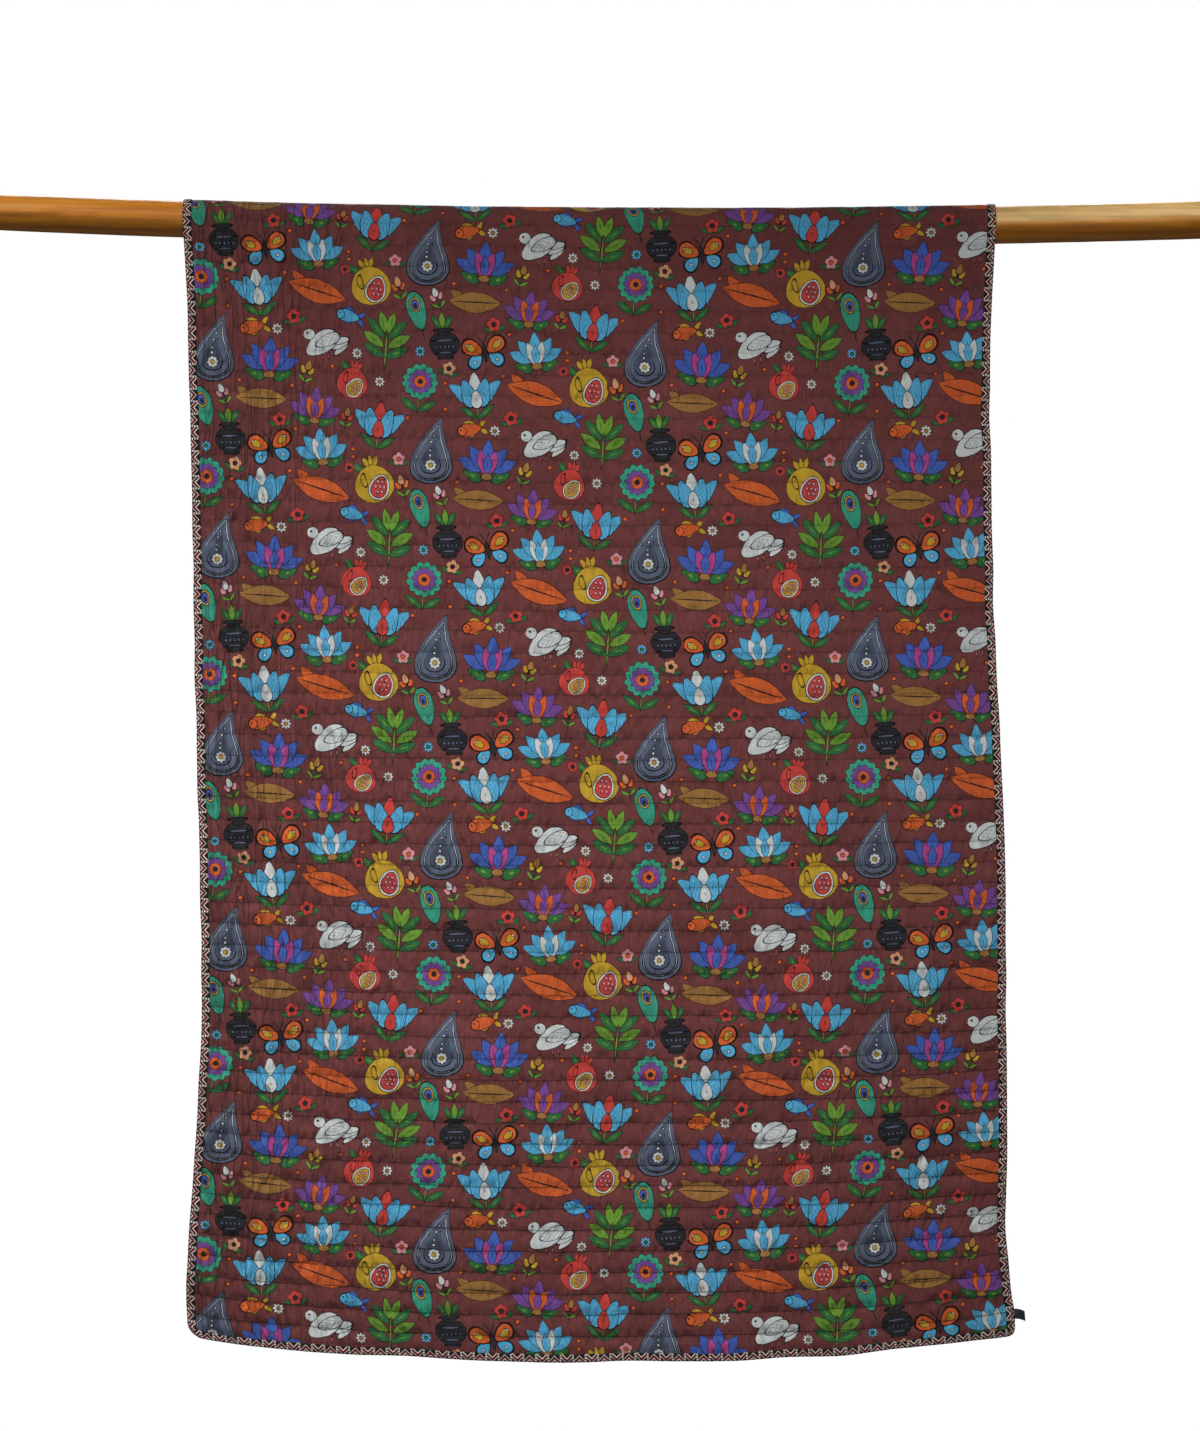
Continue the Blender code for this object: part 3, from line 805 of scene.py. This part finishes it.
def star(block):
    """An eight pointed star with a round middle."""
    block.petals(0, 0, 0, 13, 8, 0.50, [("first", 1)])
    block.petals(0, 0, 0, 5, 1, 0.0, [("second", 1)])


def berry(block):
    """A round berry."""
    block.drop(0, 0, 0, 5.5, 5.0, [("first", 1)])


# Half width and half height of each motif's room at its full size, in the print's millimetres.
MOTIFS = {
    paisley: (58, 76), lotus: (72, 58), striped_leaf: (76, 42), fern: (56, 70), tulip: (60, 60),
    pomegranate: (48, 62), marigold: (46, 64), dove: (64, 46), butterfly: (62, 50), urn: (42, 63),
    fish: (40, 26), feather: (27, 64), rosette: (32, 24), sprig: (23, 36), star: (16, 16),
    berry: (10, 9),
}


# ---------------------------------------------------------------- the print's layout

# One repeat of the design, in the print's millimetres, which the scale makes smaller on the cloth.
# Every second column of repeats drops by half of one.
REPEAT_WIDTH = 456.0
REPEAT_HEIGHT = 408.0
PRINT_SCALE = 0.90
# How far out of its room, as a ratio of it, a motif may still be drawn.
ROOM_REACH = 1.15
SETTLING_STEPS = 400

# Motif, x, y, turn in degrees, size, and its two dyes. Places are rough: settle() clears overlaps.
DESIGN = (
    (paisley, 56, 70, 6, 1.0, "slate", "white"),
    (lotus, 178, 44, -4, 0.88, "royal", "magenta"),
    (dove, 296, 66, 8, 0.94, "white", "pink"),
    (fern, 404, 60, -5, 0.95, "leaf", "green"),
    (tulip, 130, 150, 6, 0.95, "sky", "white"),
    (striped_leaf, 262, 150, -6, 0.92, "orange", "orange"),
    (pomegranate, 370, 176, 10, 0.96, "mustard", "red"),
    (marigold, 30, 204, -6, 0.96, "teal", "purple"),
    (butterfly, 196, 236, 10, 0.88, "orange", "sky"),
    (lotus, 306, 262, 5, 0.80, "sky", "white"),
    (urn, 112, 270, 4, 0.90, "black", "slate"),
    (tulip, 416, 290, -8, 0.96, "sky", "red"),
    (feather, 36, 330, 14, 0.92, "teal", "royal"),
    (striped_leaf, 150, 358, 9, 0.80, "ochre", "ochre"),
    (lotus, 262, 356, -6, 0.78, "purple", "orange"),
    (pomegranate, 360, 370, -14, 0.74, "red", "mustard"),
    (fish, 108, 60, 12, 0.95, "orange", "mustard"),
    (fish, 340, 120, -14, 0.90, "sky", "royal"),
    (rosette, 238, 96, 12, 0.90, "red", "black"),
    (rosette, 92, 214, -14, 0.85, "tan", "black"),
    (rosette, 210, 300, 8, 0.90, "red", "black"),
    (rosette, 436, 216, 0, 0.80, "pink", "orange"),
    (sprig, 244, 20, -16, 0.90, "ochre", "mustard"),
    (sprig, 440, 130, 14, 0.90, "tan", "orange"),
    (sprig, 76, 318, 20, 0.85, "white", "pink"),
    (sprig, 330, 316, -12, 0.80, "ochre", "red"),
    (star, 190, 106, 0, 0.95, "white", "ochre"),
    (star, 348, 26, 0, 0.90, "white", "ochre"),
    (star, 288, 204, 10, 0.95, "red", "black"),
    (star, 10, 270, 0, 0.90, "sky", "green"),
    (star, 398, 392, 0, 0.90, "white", "ochre"),
    (berry, 120, 100, 0, 1.0, "orange", "red"),
    (berry, 208, 186, 0, 1.0, "orange", "red"),
    (berry, 320, 218, 0, 1.0, "orange", "red"),
    (berry, 88, 170, 0, 1.0, "orange", "red"),
    (berry, 260, 300, 0, 1.0, "orange", "red"),
    (berry, 10, 140, 0, 1.0, "orange", "red"),
    (berry, 362, 232, 0, 1.0, "orange", "red"),
    (berry, 208, 400, 0, 1.0, "orange", "red"),
    (berry, 108, 398, 0, 1.0, "orange", "red"),
    (berry, 310, 12, 0, 1.0, "orange", "red"),
)


def settle():
    """Middles of the motifs, moved apart in small steps until their rooms hardly overlap."""
    middles = np.array([row[1:3] for row in DESIGN], dtype=float)
    rooms = np.array([np.multiply(MOTIFS[row[0]], row[4]) for row in DESIGN])
    both = rooms[:, None] + rooms[None]
    repeats = [(column, row) for column in range(-2, 3) for row in range(-2, 3)]
    for _ in range(SETTLING_STEPS):
        for column, row in repeats:
            step = (column * REPEAT_WIDTH, (row + column / 2) * REPEAT_HEIGHT)
            apart = middles[:, None] - middles[None] - step
            near = (np.abs(apart / both) ** 3).sum(axis=-1) ** (1 / 3)
            push = 0.12 * (1.0 - near) / np.maximum(near, 0.1)
            push = np.where((near > 0.01) & (near < 1.0), push, 0.0)
            middles += (apart * push[..., None]).sum(axis=1) * 0.5
    return middles


def lay_print(piece, flat):
    """Give every quad the motif whose room it lies in, with its place in that motif's own axes.

    The room's edge runs through bare ground, so the change from motif to motif doesn't show.
    """
    corners = flat.reshape(-1, 4, 2) * 1000.0 / PRINT_SCALE
    middles = corners.mean(axis=1)
    nearest = np.full(len(middles), ROOM_REACH)
    kind = np.zeros(len(middles), dtype=np.int32)
    places = np.zeros_like(corners)
    dyes = np.ones((2, len(middles), 4), dtype=np.float32)
    for (x, y), (motif, _, _, turn, size, *names) in zip(settle(), DESIGN):
        column = np.round((middles[:, 0] - x) / REPEAT_WIDTH)
        drop = (column % 2) * REPEAT_HEIGHT / 2
        row = np.round((middles[:, 1] - y - drop) / REPEAT_HEIGHT)
        centre = np.stack([x + column * REPEAT_WIDTH, y + drop + row * REPEAT_HEIGHT], axis=-1)
        cos, sin = math.cos(math.radians(turn)), math.sin(math.radians(turn))
        turned = np.array([[cos, -sin], [sin, cos]])
        away = np.abs((middles - centre) @ turned / np.multiply(MOTIFS[motif], size))
        away = (away**3).sum(axis=1) ** (1 / 3)
        here = away < nearest
        nearest[here] = away[here]
        kind[here] = 1 + list(MOTIFS).index(motif)
        places[here] = (corners[here] - centre[here, None]) @ turned / size
        for dye, name in zip(dyes, names):
            dye[here] = linear(DYES[name])
    piece.data.polygons.foreach_set("material_index", kind)
    set_uv(piece, "motif", places)
    for dye, name in zip(dyes, ("first_dye", "second_dye")):
        attribute = piece.data.attributes.new(name, "FLOAT_COLOR", "FACE")
        attribute.data.foreach_set("color", dye.ravel())


# ---------------------------------------------------------------- materials

# The width within which the lines of stitching waver.
STITCH_WAVER = 0.0045

# The wood's tones, from its dark streaks to its light ones.
HONEY_WOOD = ("#c06c16", "#e08a24", "#f2a743")
# Paler tones for the painted highlight along the top.
PAINTED_HIGHLIGHT_WOOD = ("#dca355", "#f6cc82", "#ffde9c")
# Darker tones for the painted shade underneath.
PAINTED_SHADE_WOOD = ("#92560a", "#b06c12", "#c88622")


def cotton_ground(tree):
    """Maroon reactive dye on cotton: even, with faint clouds about 140 mm across."""
    cloth = add_node(tree, "UVMap", uv_map="cloth")
    clouds = add_node(tree, "TexNoise", {"Vector": cloth, "Scale": 7.0, "Detail": 3.0})
    colour = add_node(tree, "ValToRGB", {0: clouds})
    set_bands(colour.node.color_ramp, [(0.3, linear("#673433")), (0.7, linear("#753d3c"))], "LINEAR")
    return colour


def cotton_finish(tree, shader, colour):
    """Matt crumpled cotton, which gives the eye its soft sheen, drawn in along dark stitched lines.

    The lines waver a little and are darkened with painted shade, deepest towards the hem, where the filling
    is tallest.
    Painted shade darkens the hollows of the upright creases and painted light brightens between them. The
    bump adds
    what is finer than the mesh: puckers that fan out from the stitching, wavy upright creases,
    strongest by the left edge, and the crumple of washed cotton.
    """
    cloth = add_node(tree, "UVMap", uv_map="cloth")
    waver = add_node(tree, "TexNoise", {"Vector": cloth, "Scale": 34.0, "Detail": 1.0})
    across = add_node(tree, "SeparateXYZ", {0: cloth})
    height = across.node.outputs[1]
    up = add_node(tree, "Math", {0: waver, 1: STITCH_WAVER, 2: height}, operation="MULTIPLY_ADD")
    first_line = 1.0 - (HEM_CHANNEL + STITCH_WAVER / 2) / CHANNEL
    up = add_node(tree, "Math", {0: up, 1: 1 / CHANNEL, 2: first_line}, operation="MULTIPLY_ADD")
    from_line = add_node(tree, "Math", {0: up, 1: 0.5}, operation="PINGPONG")
    # Painted shade in the grooves of the stitched lines: darkest near the hem, where the filling is
    # tallest.
    shade_of_line = add_node(tree, "MapRange", {0: height, 1: 0.2, 2: 1.9, 3: 0.46, 4: 0.86})
    line = {0: from_line, 1: 0.012, 2: 0.060, 3: shade_of_line, 4: 1.0}
    line = add_node(tree, "MapRange", line, interpolation_type="SMOOTHSTEP")

    # The creases are about 20 mm apart and 150 mm long; painted shade darkens their hollows and painted
    # light brightens between them.
    wavy = add_node(tree, "Mapping", {"Vector": cloth, "Scale": (52.0, 6.5, 1.0)})
    wavy = add_node(tree, "TexNoise", {"Vector": wavy, "Scale": 1.0, "Detail": 2.0, "Distortion": 0.7})
    wavy = add_node(tree, "Math", {0: wavy, 1: 0.5}, operation="SUBTRACT")
    wavy = add_node(tree, "Math", {0: wavy}, operation="ABSOLUTE")
    wavy = add_node(tree, "MapRange", {0: wavy, 1: 0.0, 2: 0.12}, interpolation_type="SMOOTHSTEP")
    by_edge = add_node(tree, "MapRange", {0: across, 1: 0.04, 2: 0.42, 3: 1.0, 4: 0.22})
    # Painted shade in the crease hollows and painted light between them, strongest by the left edge.
    painted_crease_shading = add_node(tree, "Math", {0: by_edge, 1: 0.15}, operation="MULTIPLY")
    painted_crease_shading = add_node(tree, "Math", {0: 1.0, 1: painted_crease_shading}, operation="SUBTRACT")
    painted_ridge_light = add_node(tree, "Math", {0: by_edge, 1: 0.05, 2: 1.02}, operation="MULTIPLY_ADD")
    painted_crease_shading = add_node(tree, "MapRange", {0: wavy, 3: painted_crease_shading, 4: painted_ridge_light})
    line = add_node(tree, "Math", {0: line, 1: painted_crease_shading}, operation="MULTIPLY")
    # The colour takes the painted shade of the lines and the painted light and shade of the creases.
    colour = add_node(tree, "VectorMath", {0: colour, "Scale": line}, operation="SCALE")
    tree.links.new(colour, shader.inputs["Base Color"])
    shader.inputs["Roughness"].default_value = 0.88
    shader.inputs["Specular IOR Level"].default_value = 0.30
    shader.inputs["Sheen Weight"].default_value = 0.06

    # The puckers are about 14 mm apart, and the crumple has cells of 13 by 48 mm and finer.
    beside = add_node(tree, "MapRange", {0: from_line, 1: 0.0, 2: 0.40, 3: 1.0, 4: 0.0})
    upright = add_node(tree, "Mapping", {"Vector": cloth, "Scale": (70.0, 17.0, 1.0)})
    puckers = add_node(tree, "TexNoise", {"Vector": upright, "Scale": 1.0, "Detail": 2.0})
    puckers = add_node(tree, "Math", {0: puckers, 1: 0.5}, operation="SUBTRACT")
    puckers = add_node(tree, "Math", {0: puckers, 1: beside}, operation="MULTIPLY")
    crumpled = add_node(tree, "Mapping", {"Vector": cloth, "Scale": (75.0, 21.0, 1.0)})
    crumple = {"Vector": crumpled, "Scale": 1.0, "Detail": 5.0, "Roughness": 0.58, "Distortion": 0.6}
    crumple = add_node(tree, "TexNoise", crumple)
    relief = add_node(tree, "Math", {0: puckers, 1: 3.2, 2: crumple}, operation="MULTIPLY_ADD")
    creases = add_node(tree, "Math", {0: wavy, 1: by_edge}, operation="MULTIPLY")
    relief = add_node(tree, "Math", {0: creases, 1: 0.60, 2: relief}, operation="MULTIPLY_ADD")
    bump = add_node(tree, "Bump", {"Height": relief, "Distance": 0.0065, "Strength": 1.0})
    tree.links.new(bump, shader.inputs["Normal"])


def printed_cotton(motif=None):
    """The printed face: the bare ground, or the ground with one motif on it."""
    name = "printed cotton" + (", " + motif.__name__.replace("_", " ") if motif else "")
    material, tree, shader = new_material(name)
    colour = cotton_ground(tree)
    if motif:
        block = PrintBlock(tree, colour)
        motif(block)
        colour = block.colour
    cotton_finish(tree, shader, colour)
    return material


def lining_cotton():
    """The plain back: the same maroon cotton without print."""
    material, tree, shader = new_material("plain maroon cotton")
    cotton_finish(tree, shader, cotton_ground(tree))
    return material


def border_cotton():
    """The binding's printed cotton: matt, with fine gathers that its sewing leaves.

    Arrowheads of black, cream and maroon bands point to its two edges by turns, with a row of dots
    between them. A band follows the distance from the arrowhead's middle plus the place across.
    """
    material, tree, shader = new_material("border print cotton")
    strip = add_node(tree, "UVMap", uv_map="strip")
    along = add_node(tree, "SeparateXYZ", {0: strip})
    from_fold = add_node(tree, "Math", {0: along.node.outputs[1]}, operation="ABSOLUTE")
    across = add_node(tree, "Math", {0: from_fold, 1: BINDING_WIDTH / 2}, operation="SUBTRACT")
    cell = add_node(tree, "Math", {0: along, 1: 1 / ARROW_PITCH}, operation="MULTIPLY")
    number = add_node(tree, "Math", {0: cell}, operation="FLOOR")
    odd = add_node(tree, "Math", {0: number, 1: 1.0}, operation="PINGPONG")
    side = add_node(tree, "Math", {0: odd, 1: 2.0, 2: -1.0}, operation="MULTIPLY_ADD")
    turned = add_node(tree, "Math", {0: across, 1: side}, operation="MULTIPLY")
    off = add_node(tree, "Math", {0: cell, 1: number}, operation="SUBTRACT")
    off = add_node(tree, "Math", {0: off, 1: 0.5}, operation="SUBTRACT")
    off = add_node(tree, "Math", {0: off}, operation="ABSOLUTE")
    arrow = add_node(tree, "Math", {0: off, 1: ARROW_PITCH, 2: turned}, operation="MULTIPLY_ADD")
    arrow = add_node(tree, "MapRange", {0: arrow, 1: ARROW_TIP, 2: ARROW_TAIL})
    inks = add_node(tree, "ValToRGB", {0: arrow})
    cream, maroon, black = linear("#e6ded2"), linear("#6a1f27"), linear("#1c181c")
    bands = [(0.0, black), (0.305, cream), (0.41, maroon), (0.72, cream), (0.78, black)]
    set_bands(inks.node.color_ramp, bands)
    between = add_node(tree, "Math", {0: off, 1: ARROW_HALF / ARROW_PITCH}, operation="GREATER_THAN")
    colour = add_node(tree, "Mix", {0: between, 6: inks, 7: cream}, 2, data_type="RGBA")
    beside = add_node(tree, "Math", {0: across, 1: DOT_PITCH / 2}, operation="PINGPONG")
    beyond = {0: off, 1: -ARROW_PITCH, 2: ARROW_PITCH / 2}
    beyond = add_node(tree, "Math", beyond, operation="MULTIPLY_ADD")
    dot = add_node(tree, "CombineXYZ", {"X": beside, "Y": beyond})
    dot = add_node(tree, "VectorMath", {0: dot}, 1, operation="LENGTH")
    dot = add_node(tree, "Math", {0: dot, 1: DOT_RADIUS}, operation="LESS_THAN")
    colour = add_node(tree, "Mix", {0: dot, 6: colour, 7: black}, 2, data_type="RGBA")
    tree.links.new(colour, shader.inputs["Base Color"])
    shader.inputs["Roughness"].default_value = 0.85
    shader.inputs["Specular IOR Level"].default_value = 0.30
    # The gathers are about 5 mm apart.
    gathers = add_node(tree, "Mapping", {"Vector": strip, "Scale": (190.0, 60.0, 1.0)})
    gathers = add_node(tree, "TexNoise", {"Vector": gathers, "Scale": 1.0, "Detail": 3.0})
    bump = add_node(tree, "Bump", {"Height": gathers, "Distance": 0.0018, "Strength": 1.0})
    tree.links.new(bump, shader.inputs["Normal"])
    return material


def navy_ribbon():
    """A woven ribbon: dark, with fine ribs 1.3 mm apart that catch a little light."""
    material, tree, shader = new_material("woven navy ribbon")
    shader.inputs["Base Color"].default_value = linear("#20222e")
    shader.inputs["Roughness"].default_value = 0.55
    ribs = add_node(tree, "TexCoord", output=3)
    ribs = add_node(tree, "TexWave", {"Vector": ribs, "Scale": 240.0}, 1, bands_direction="Z")
    bump = add_node(tree, "Bump", {"Height": ribs, "Distance": 0.0003, "Strength": 0.7})
    tree.links.new(bump, shader.inputs["Normal"])
    return material


def planed_wood():
    """Honey-coloured wood under thin varnish, which leaves it a soft gloss.

    It has long grain and slanting patches of lighter and darker tone, painted shade below its
    middle, and a painted highlight along its top, paler, more so to the right.
    """
    material, tree, shader = new_material("planed honey wood")
    place = add_node(tree, "TexCoord", output=3)
    # The streaks are about 450 mm long and 17 mm high, with finer ones in them.
    streaks = add_node(tree, "Mapping", {"Vector": place, "Scale": (2.2, 60.0, 60.0)})
    streaks = add_node(tree, "TexNoise", {"Vector": streaks, "Scale": 1.0, "Detail": 5.0, "Roughness": 0.6})
    honey, painted_highlight, dark = [add_node(tree, "ValToRGB", {0: streaks}) for _ in range(3)]
    for wood, tones in ((honey, HONEY_WOOD), (painted_highlight, PAINTED_HIGHLIGHT_WOOD), (dark, PAINTED_SHADE_WOOD)):
        bands = [(position, linear(tone)) for position, tone in zip((0.30, 0.50, 0.75), tones)]
        set_bands(wood.node.color_ramp, bands, "LINEAR")

    # The height above the pole's bowed centre line places the painted highlight above it and the painted
    # shade below it.
    along = add_node(tree, "SeparateXYZ", {0: place})
    from_low = add_node(tree, "Math", {0: along, 1: POLE_LOWEST_AT}, operation="SUBTRACT")
    bowed = {0: from_low, 1: from_low, 2: -POLE_LOWEST_AT**2}
    bowed = add_node(tree, "Math", bowed, operation="MULTIPLY_ADD")
    above = {0: bowed, 1: -POLE_BOW, 2: along.node.outputs[2]}
    above = add_node(tree, "Math", above, operation="MULTIPLY_ADD")
    # Painted highlight: paler wood along the top, growing towards the right.
    top = add_node(tree, "MapRange", {0: above, 1: -0.004, 2: 0.010}, interpolation_type="SMOOTHSTEP")
    rightwards = add_node(tree, "MapRange", {0: along, 1: 0.5, 2: 1.9, 3: 0.0, 4: 0.85})
    top = add_node(tree, "Math", {0: top, 1: rightwards}, operation="MULTIPLY")
    colour = add_node(tree, "Mix", {0: top, 6: honey, 7: painted_highlight}, 2, data_type="RGBA")
    # Painted shade: darker wood below the centre line.
    below = add_node(tree, "MapRange", {0: above, 1: 0.002, 2: -0.008}, interpolation_type="SMOOTHSTEP")
    colour = add_node(tree, "Mix", {0: below, 6: colour, 7: dark}, 2, data_type="RGBA")

    # The slanting patches are about 70 mm long and 13 mm high, and the unevenness of the plane 60 by 25 mm.
    # Slanting patches scale the colour from 0.84 to 1.03.
    slanting = {"Vector": place, "Rotation": (0.0, 0.12, 0.12), "Scale": (14.0, 75.0, 75.0)}
    slanting_patches = add_node(tree, "Mapping", slanting)
    slanting_patches = add_node(tree, "TexNoise", {"Vector": slanting_patches, "Scale": 1.0, "Detail": 3.0})
    slanting_patches = add_node(tree, "MapRange", {0: slanting_patches, 1: 0.35, 2: 0.60, 3: 0.84, 4: 1.03})
    colour = add_node(tree, "VectorMath", {0: colour, "Scale": slanting_patches}, operation="SCALE")
    tree.links.new(colour, shader.inputs["Base Color"])
    shader.inputs["Roughness"].default_value = 0.50
    shader.inputs["Specular IOR Level"].default_value = 0.35
    planed = add_node(tree, "Mapping", {"Vector": place, "Scale": (17.0, 40.0, 40.0)})
    planed = add_node(tree, "TexNoise", {"Vector": planed, "Scale": 1.0, "Detail": 3.0})
    bump = add_node(tree, "Bump", {"Height": planed, "Distance": 0.0022, "Strength": 0.8})
    tree.links.new(bump, shader.inputs["Normal"])
    return material


def add_label():
    """The folded tab: a thin slab behind the right edge, its free end curling down and back.

    Its section is flat with two rounded edges, and its two ends close to a line.
    """
    behind = HALF_STITCHED + 2.0 * PIECE_GAP + BINDING_CLOTH
    width = edge_x(1.0, front_depth(1.0)) - edge_x(0.0, front_depth(1.0))
    sides = np.radians(np.arange(90, 271, 30))
    up = 0.5 - LABEL_EDGE - LABEL_EDGE * np.cos(sides)
    up = np.concatenate([-up, up])
    layer = np.concatenate([0.5 - 0.5 * np.sin(sides), 0.5 + 0.5 * np.sin(sides)])
    out = np.linspace(-LABEL_SEWN_IN, LABEL_REACH, 24)
    out = np.concatenate([[-LABEL_SEWN_IN], out, [LABEL_REACH]])[:, None]
    closed = np.ones_like(out)
    closed[0] = closed[-1] = 0.0
    free = np.maximum(out / LABEL_REACH, 0.0)
    share, channel = np.broadcast_arrays(1.0 + out / width, LABEL_CHANNEL + up * LABEL_HEIGHT / CHANNEL)
    middle, facing = cloth_middle(share, channel)
    back = behind + LABEL_THICKNESS * (0.5 + (layer - 0.5) * closed)
    wave = LABEL_WAVE * free * np.sin(up * 9.0 + out * 260.0)
    points = middle - facing * (back + wave)[..., None]
    points[..., 1] += LABEL_CURL * free**2
    points[..., 2] -= LABEL_DROP * free**2
    return grid_mesh("label_tab", points, closed_columns=True)


def add_pole():
    """The bowed, tapering pole: a circle carried along its centre line, with flat chamfered ends.

    Its surface is a little uneven from the plane, most in front and not at all along its seam behind.
    """
    along = np.linspace(POLE_CHAMFER, POLE_LENGTH - POLE_CHAMFER, 180)
    along = np.concatenate([[0.0, 0.0], along, [POLE_LENGTH] * 2])
    turns = np.radians(np.arange(0, 360, 7.5))
    x, turn = np.meshgrid(along, turns, indexing="ij")
    uneven = soft_noise(turn * 2.0, x, 1.0, 0.035, 11) * POLE_UNEVEN * np.sin(turn / 2) ** 2
    radius = pole_radius(x) + uneven
    radius[0] = radius[-1] = 0.0
    radius[1] -= POLE_CHAMFER
    radius[-2] -= POLE_CHAMFER
    points = np.stack([x, radius * np.cos(turn), pole_centre(x) + radius * np.sin(turn)], axis=-1)
    return grid_mesh("pole_round", points, closed_columns=True)


quilt_face = add_cloth("quilt_face", 1, FACE_GRID)
quilt_face.data.materials.append(printed_cotton())
for motif in MOTIFS:
    quilt_face.data.materials.append(printed_cotton(motif))
quilt_lining = add_cloth("quilt_lining", -1, LINING_GRID)
quilt_lining.data.materials.append(lining_cotton())
binding_strip = add_binding()
binding_strip.data.materials.append(border_cotton())
label_tab = add_label()
label_tab.data.materials.append(navy_ribbon())
pole_round = add_pole()
pole_round.data.materials.append(planed_wood())

for piece, node, slot in (
    (quilt_face, "quilt", "quilt_cotton"),
    (quilt_lining, "quilt", "quilt_cotton"),
    (binding_strip, "binding", "binding_cotton"),
    (label_tab, "label", "label_ribbon"),
    (pole_round, "pole", "pole_wood"),
):
    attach(piece, "root")
    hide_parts(node)

# ---------------------------------------------------------------- studio

# The view is as high as this at the cloth's face, which hangs in front of the pole's middle.
VIEW_HEIGHT = 2.662
VIEW_CENTRE = (1.1997, -0.943)
VIEW_DISTANCE = 11.0
FACE_FORWARD = 0.04
SENSOR_HEIGHT = 36.0

camera_data = bpy.data.cameras.new("camera")
camera = bpy.data.objects.new("camera", camera_data)
bpy.context.scene.collection.objects.link(camera)
camera.location = (VIEW_CENTRE[0], -VIEW_DISTANCE, VIEW_CENTRE[1])
camera.rotation_euler = (math.radians(90), 0, 0)
camera_data.sensor_fit = "VERTICAL"
camera_data.sensor_height = SENSOR_HEIGHT
camera_data.lens = SENSOR_HEIGHT * (VIEW_DISTANCE - FACE_FORWARD) / VIEW_HEIGHT
bpy.context.scene.camera = camera


def add_light(name, place, aim, size, power, spread):
    """A square soft light at a place, turned to its aim: size in metres, watts, spread in degrees."""
    data = bpy.data.lights.new(name, "AREA")
    data.size = size
    data.spread = math.radians(spread)
    data.energy = power
    light = bpy.data.objects.new(name, data)
    light.location = place
    right, away, up = np.subtract(aim, place)
    light.rotation_euler = (math.atan2(math.hypot(right, away), -up), 0, math.atan2(-right, away))
    bpy.context.scene.collection.objects.link(light)


def white_when_seen(tree, kind, shader, output):
    """Link a shader to an output, with plain white in its place where the camera looks straight at it."""
    seen = add_node(tree, "LightPath")
    white = add_node(tree, kind, {"Color": (1, 1, 1, 1), "Strength": 1.0})
    whole = add_node(tree, "MixShader", {0: seen, 1: shader, 2: white})
    tree.links.new(whole, tree.nodes[output].inputs["Surface"])


# Two lights from the upper left and the upper right shade the folds, one fills in from the front,
# one brightens the pole's right end, and two light the back.
add_light("left", (-0.9, -2.2, 1.9), (0.3, 0.0, -1.73), 0.9, 12, 55)
add_light("right", (1.9, -2.35, 1.2), (1.12, 0.0, -2.39), 0.9, 13, 73)
add_light("front", (1.2, -4.0, -0.86), (1.2, 0.0, -0.86), 1.4, 8, 100)
add_light("pole right", (2.7, -1.6, 2.0), (2.35, 0.0, 0.0), 0.4, 0.7, 24)
add_light("back", (-0.6, 3.4, 1.6), (1.0, 0.0, -1.1), 1.8, 60, 120)
add_light("back right", (3.0, 3.4, 1.2), (1.4, 0.0, -1.2), 1.8, 60, 120)

world = bpy.data.worlds.new("studio")
world.use_nodes = True
bpy.context.scene.world = world
backdrop = world.node_tree.nodes["Background"]
backdrop.inputs["Color"].default_value = (1, 1, 1, 1)
backdrop.inputs["Strength"].default_value = 0.03
white_when_seen(world.node_tree, "Background", backdrop.outputs[0], "World Output")

floor_at = solid_box[0].z - 0.5
bpy.ops.mesh.primitive_plane_add(size=60, location=(POLE_LENGTH / 2, 0, floor_at))
floor = bpy.context.object
floor.name = "floor"
paper, tree, shader = new_material("white paper")
shader.inputs["Base Color"].default_value = (0.25, 0.25, 0.25, 1)
shader.inputs["Roughness"].default_value = 0.9
white_when_seen(tree, "Emission", shader.outputs[0], "Material Output")
floor.data.materials.append(paper)
bpy.context.scene.view_settings.view_transform = "Standard"
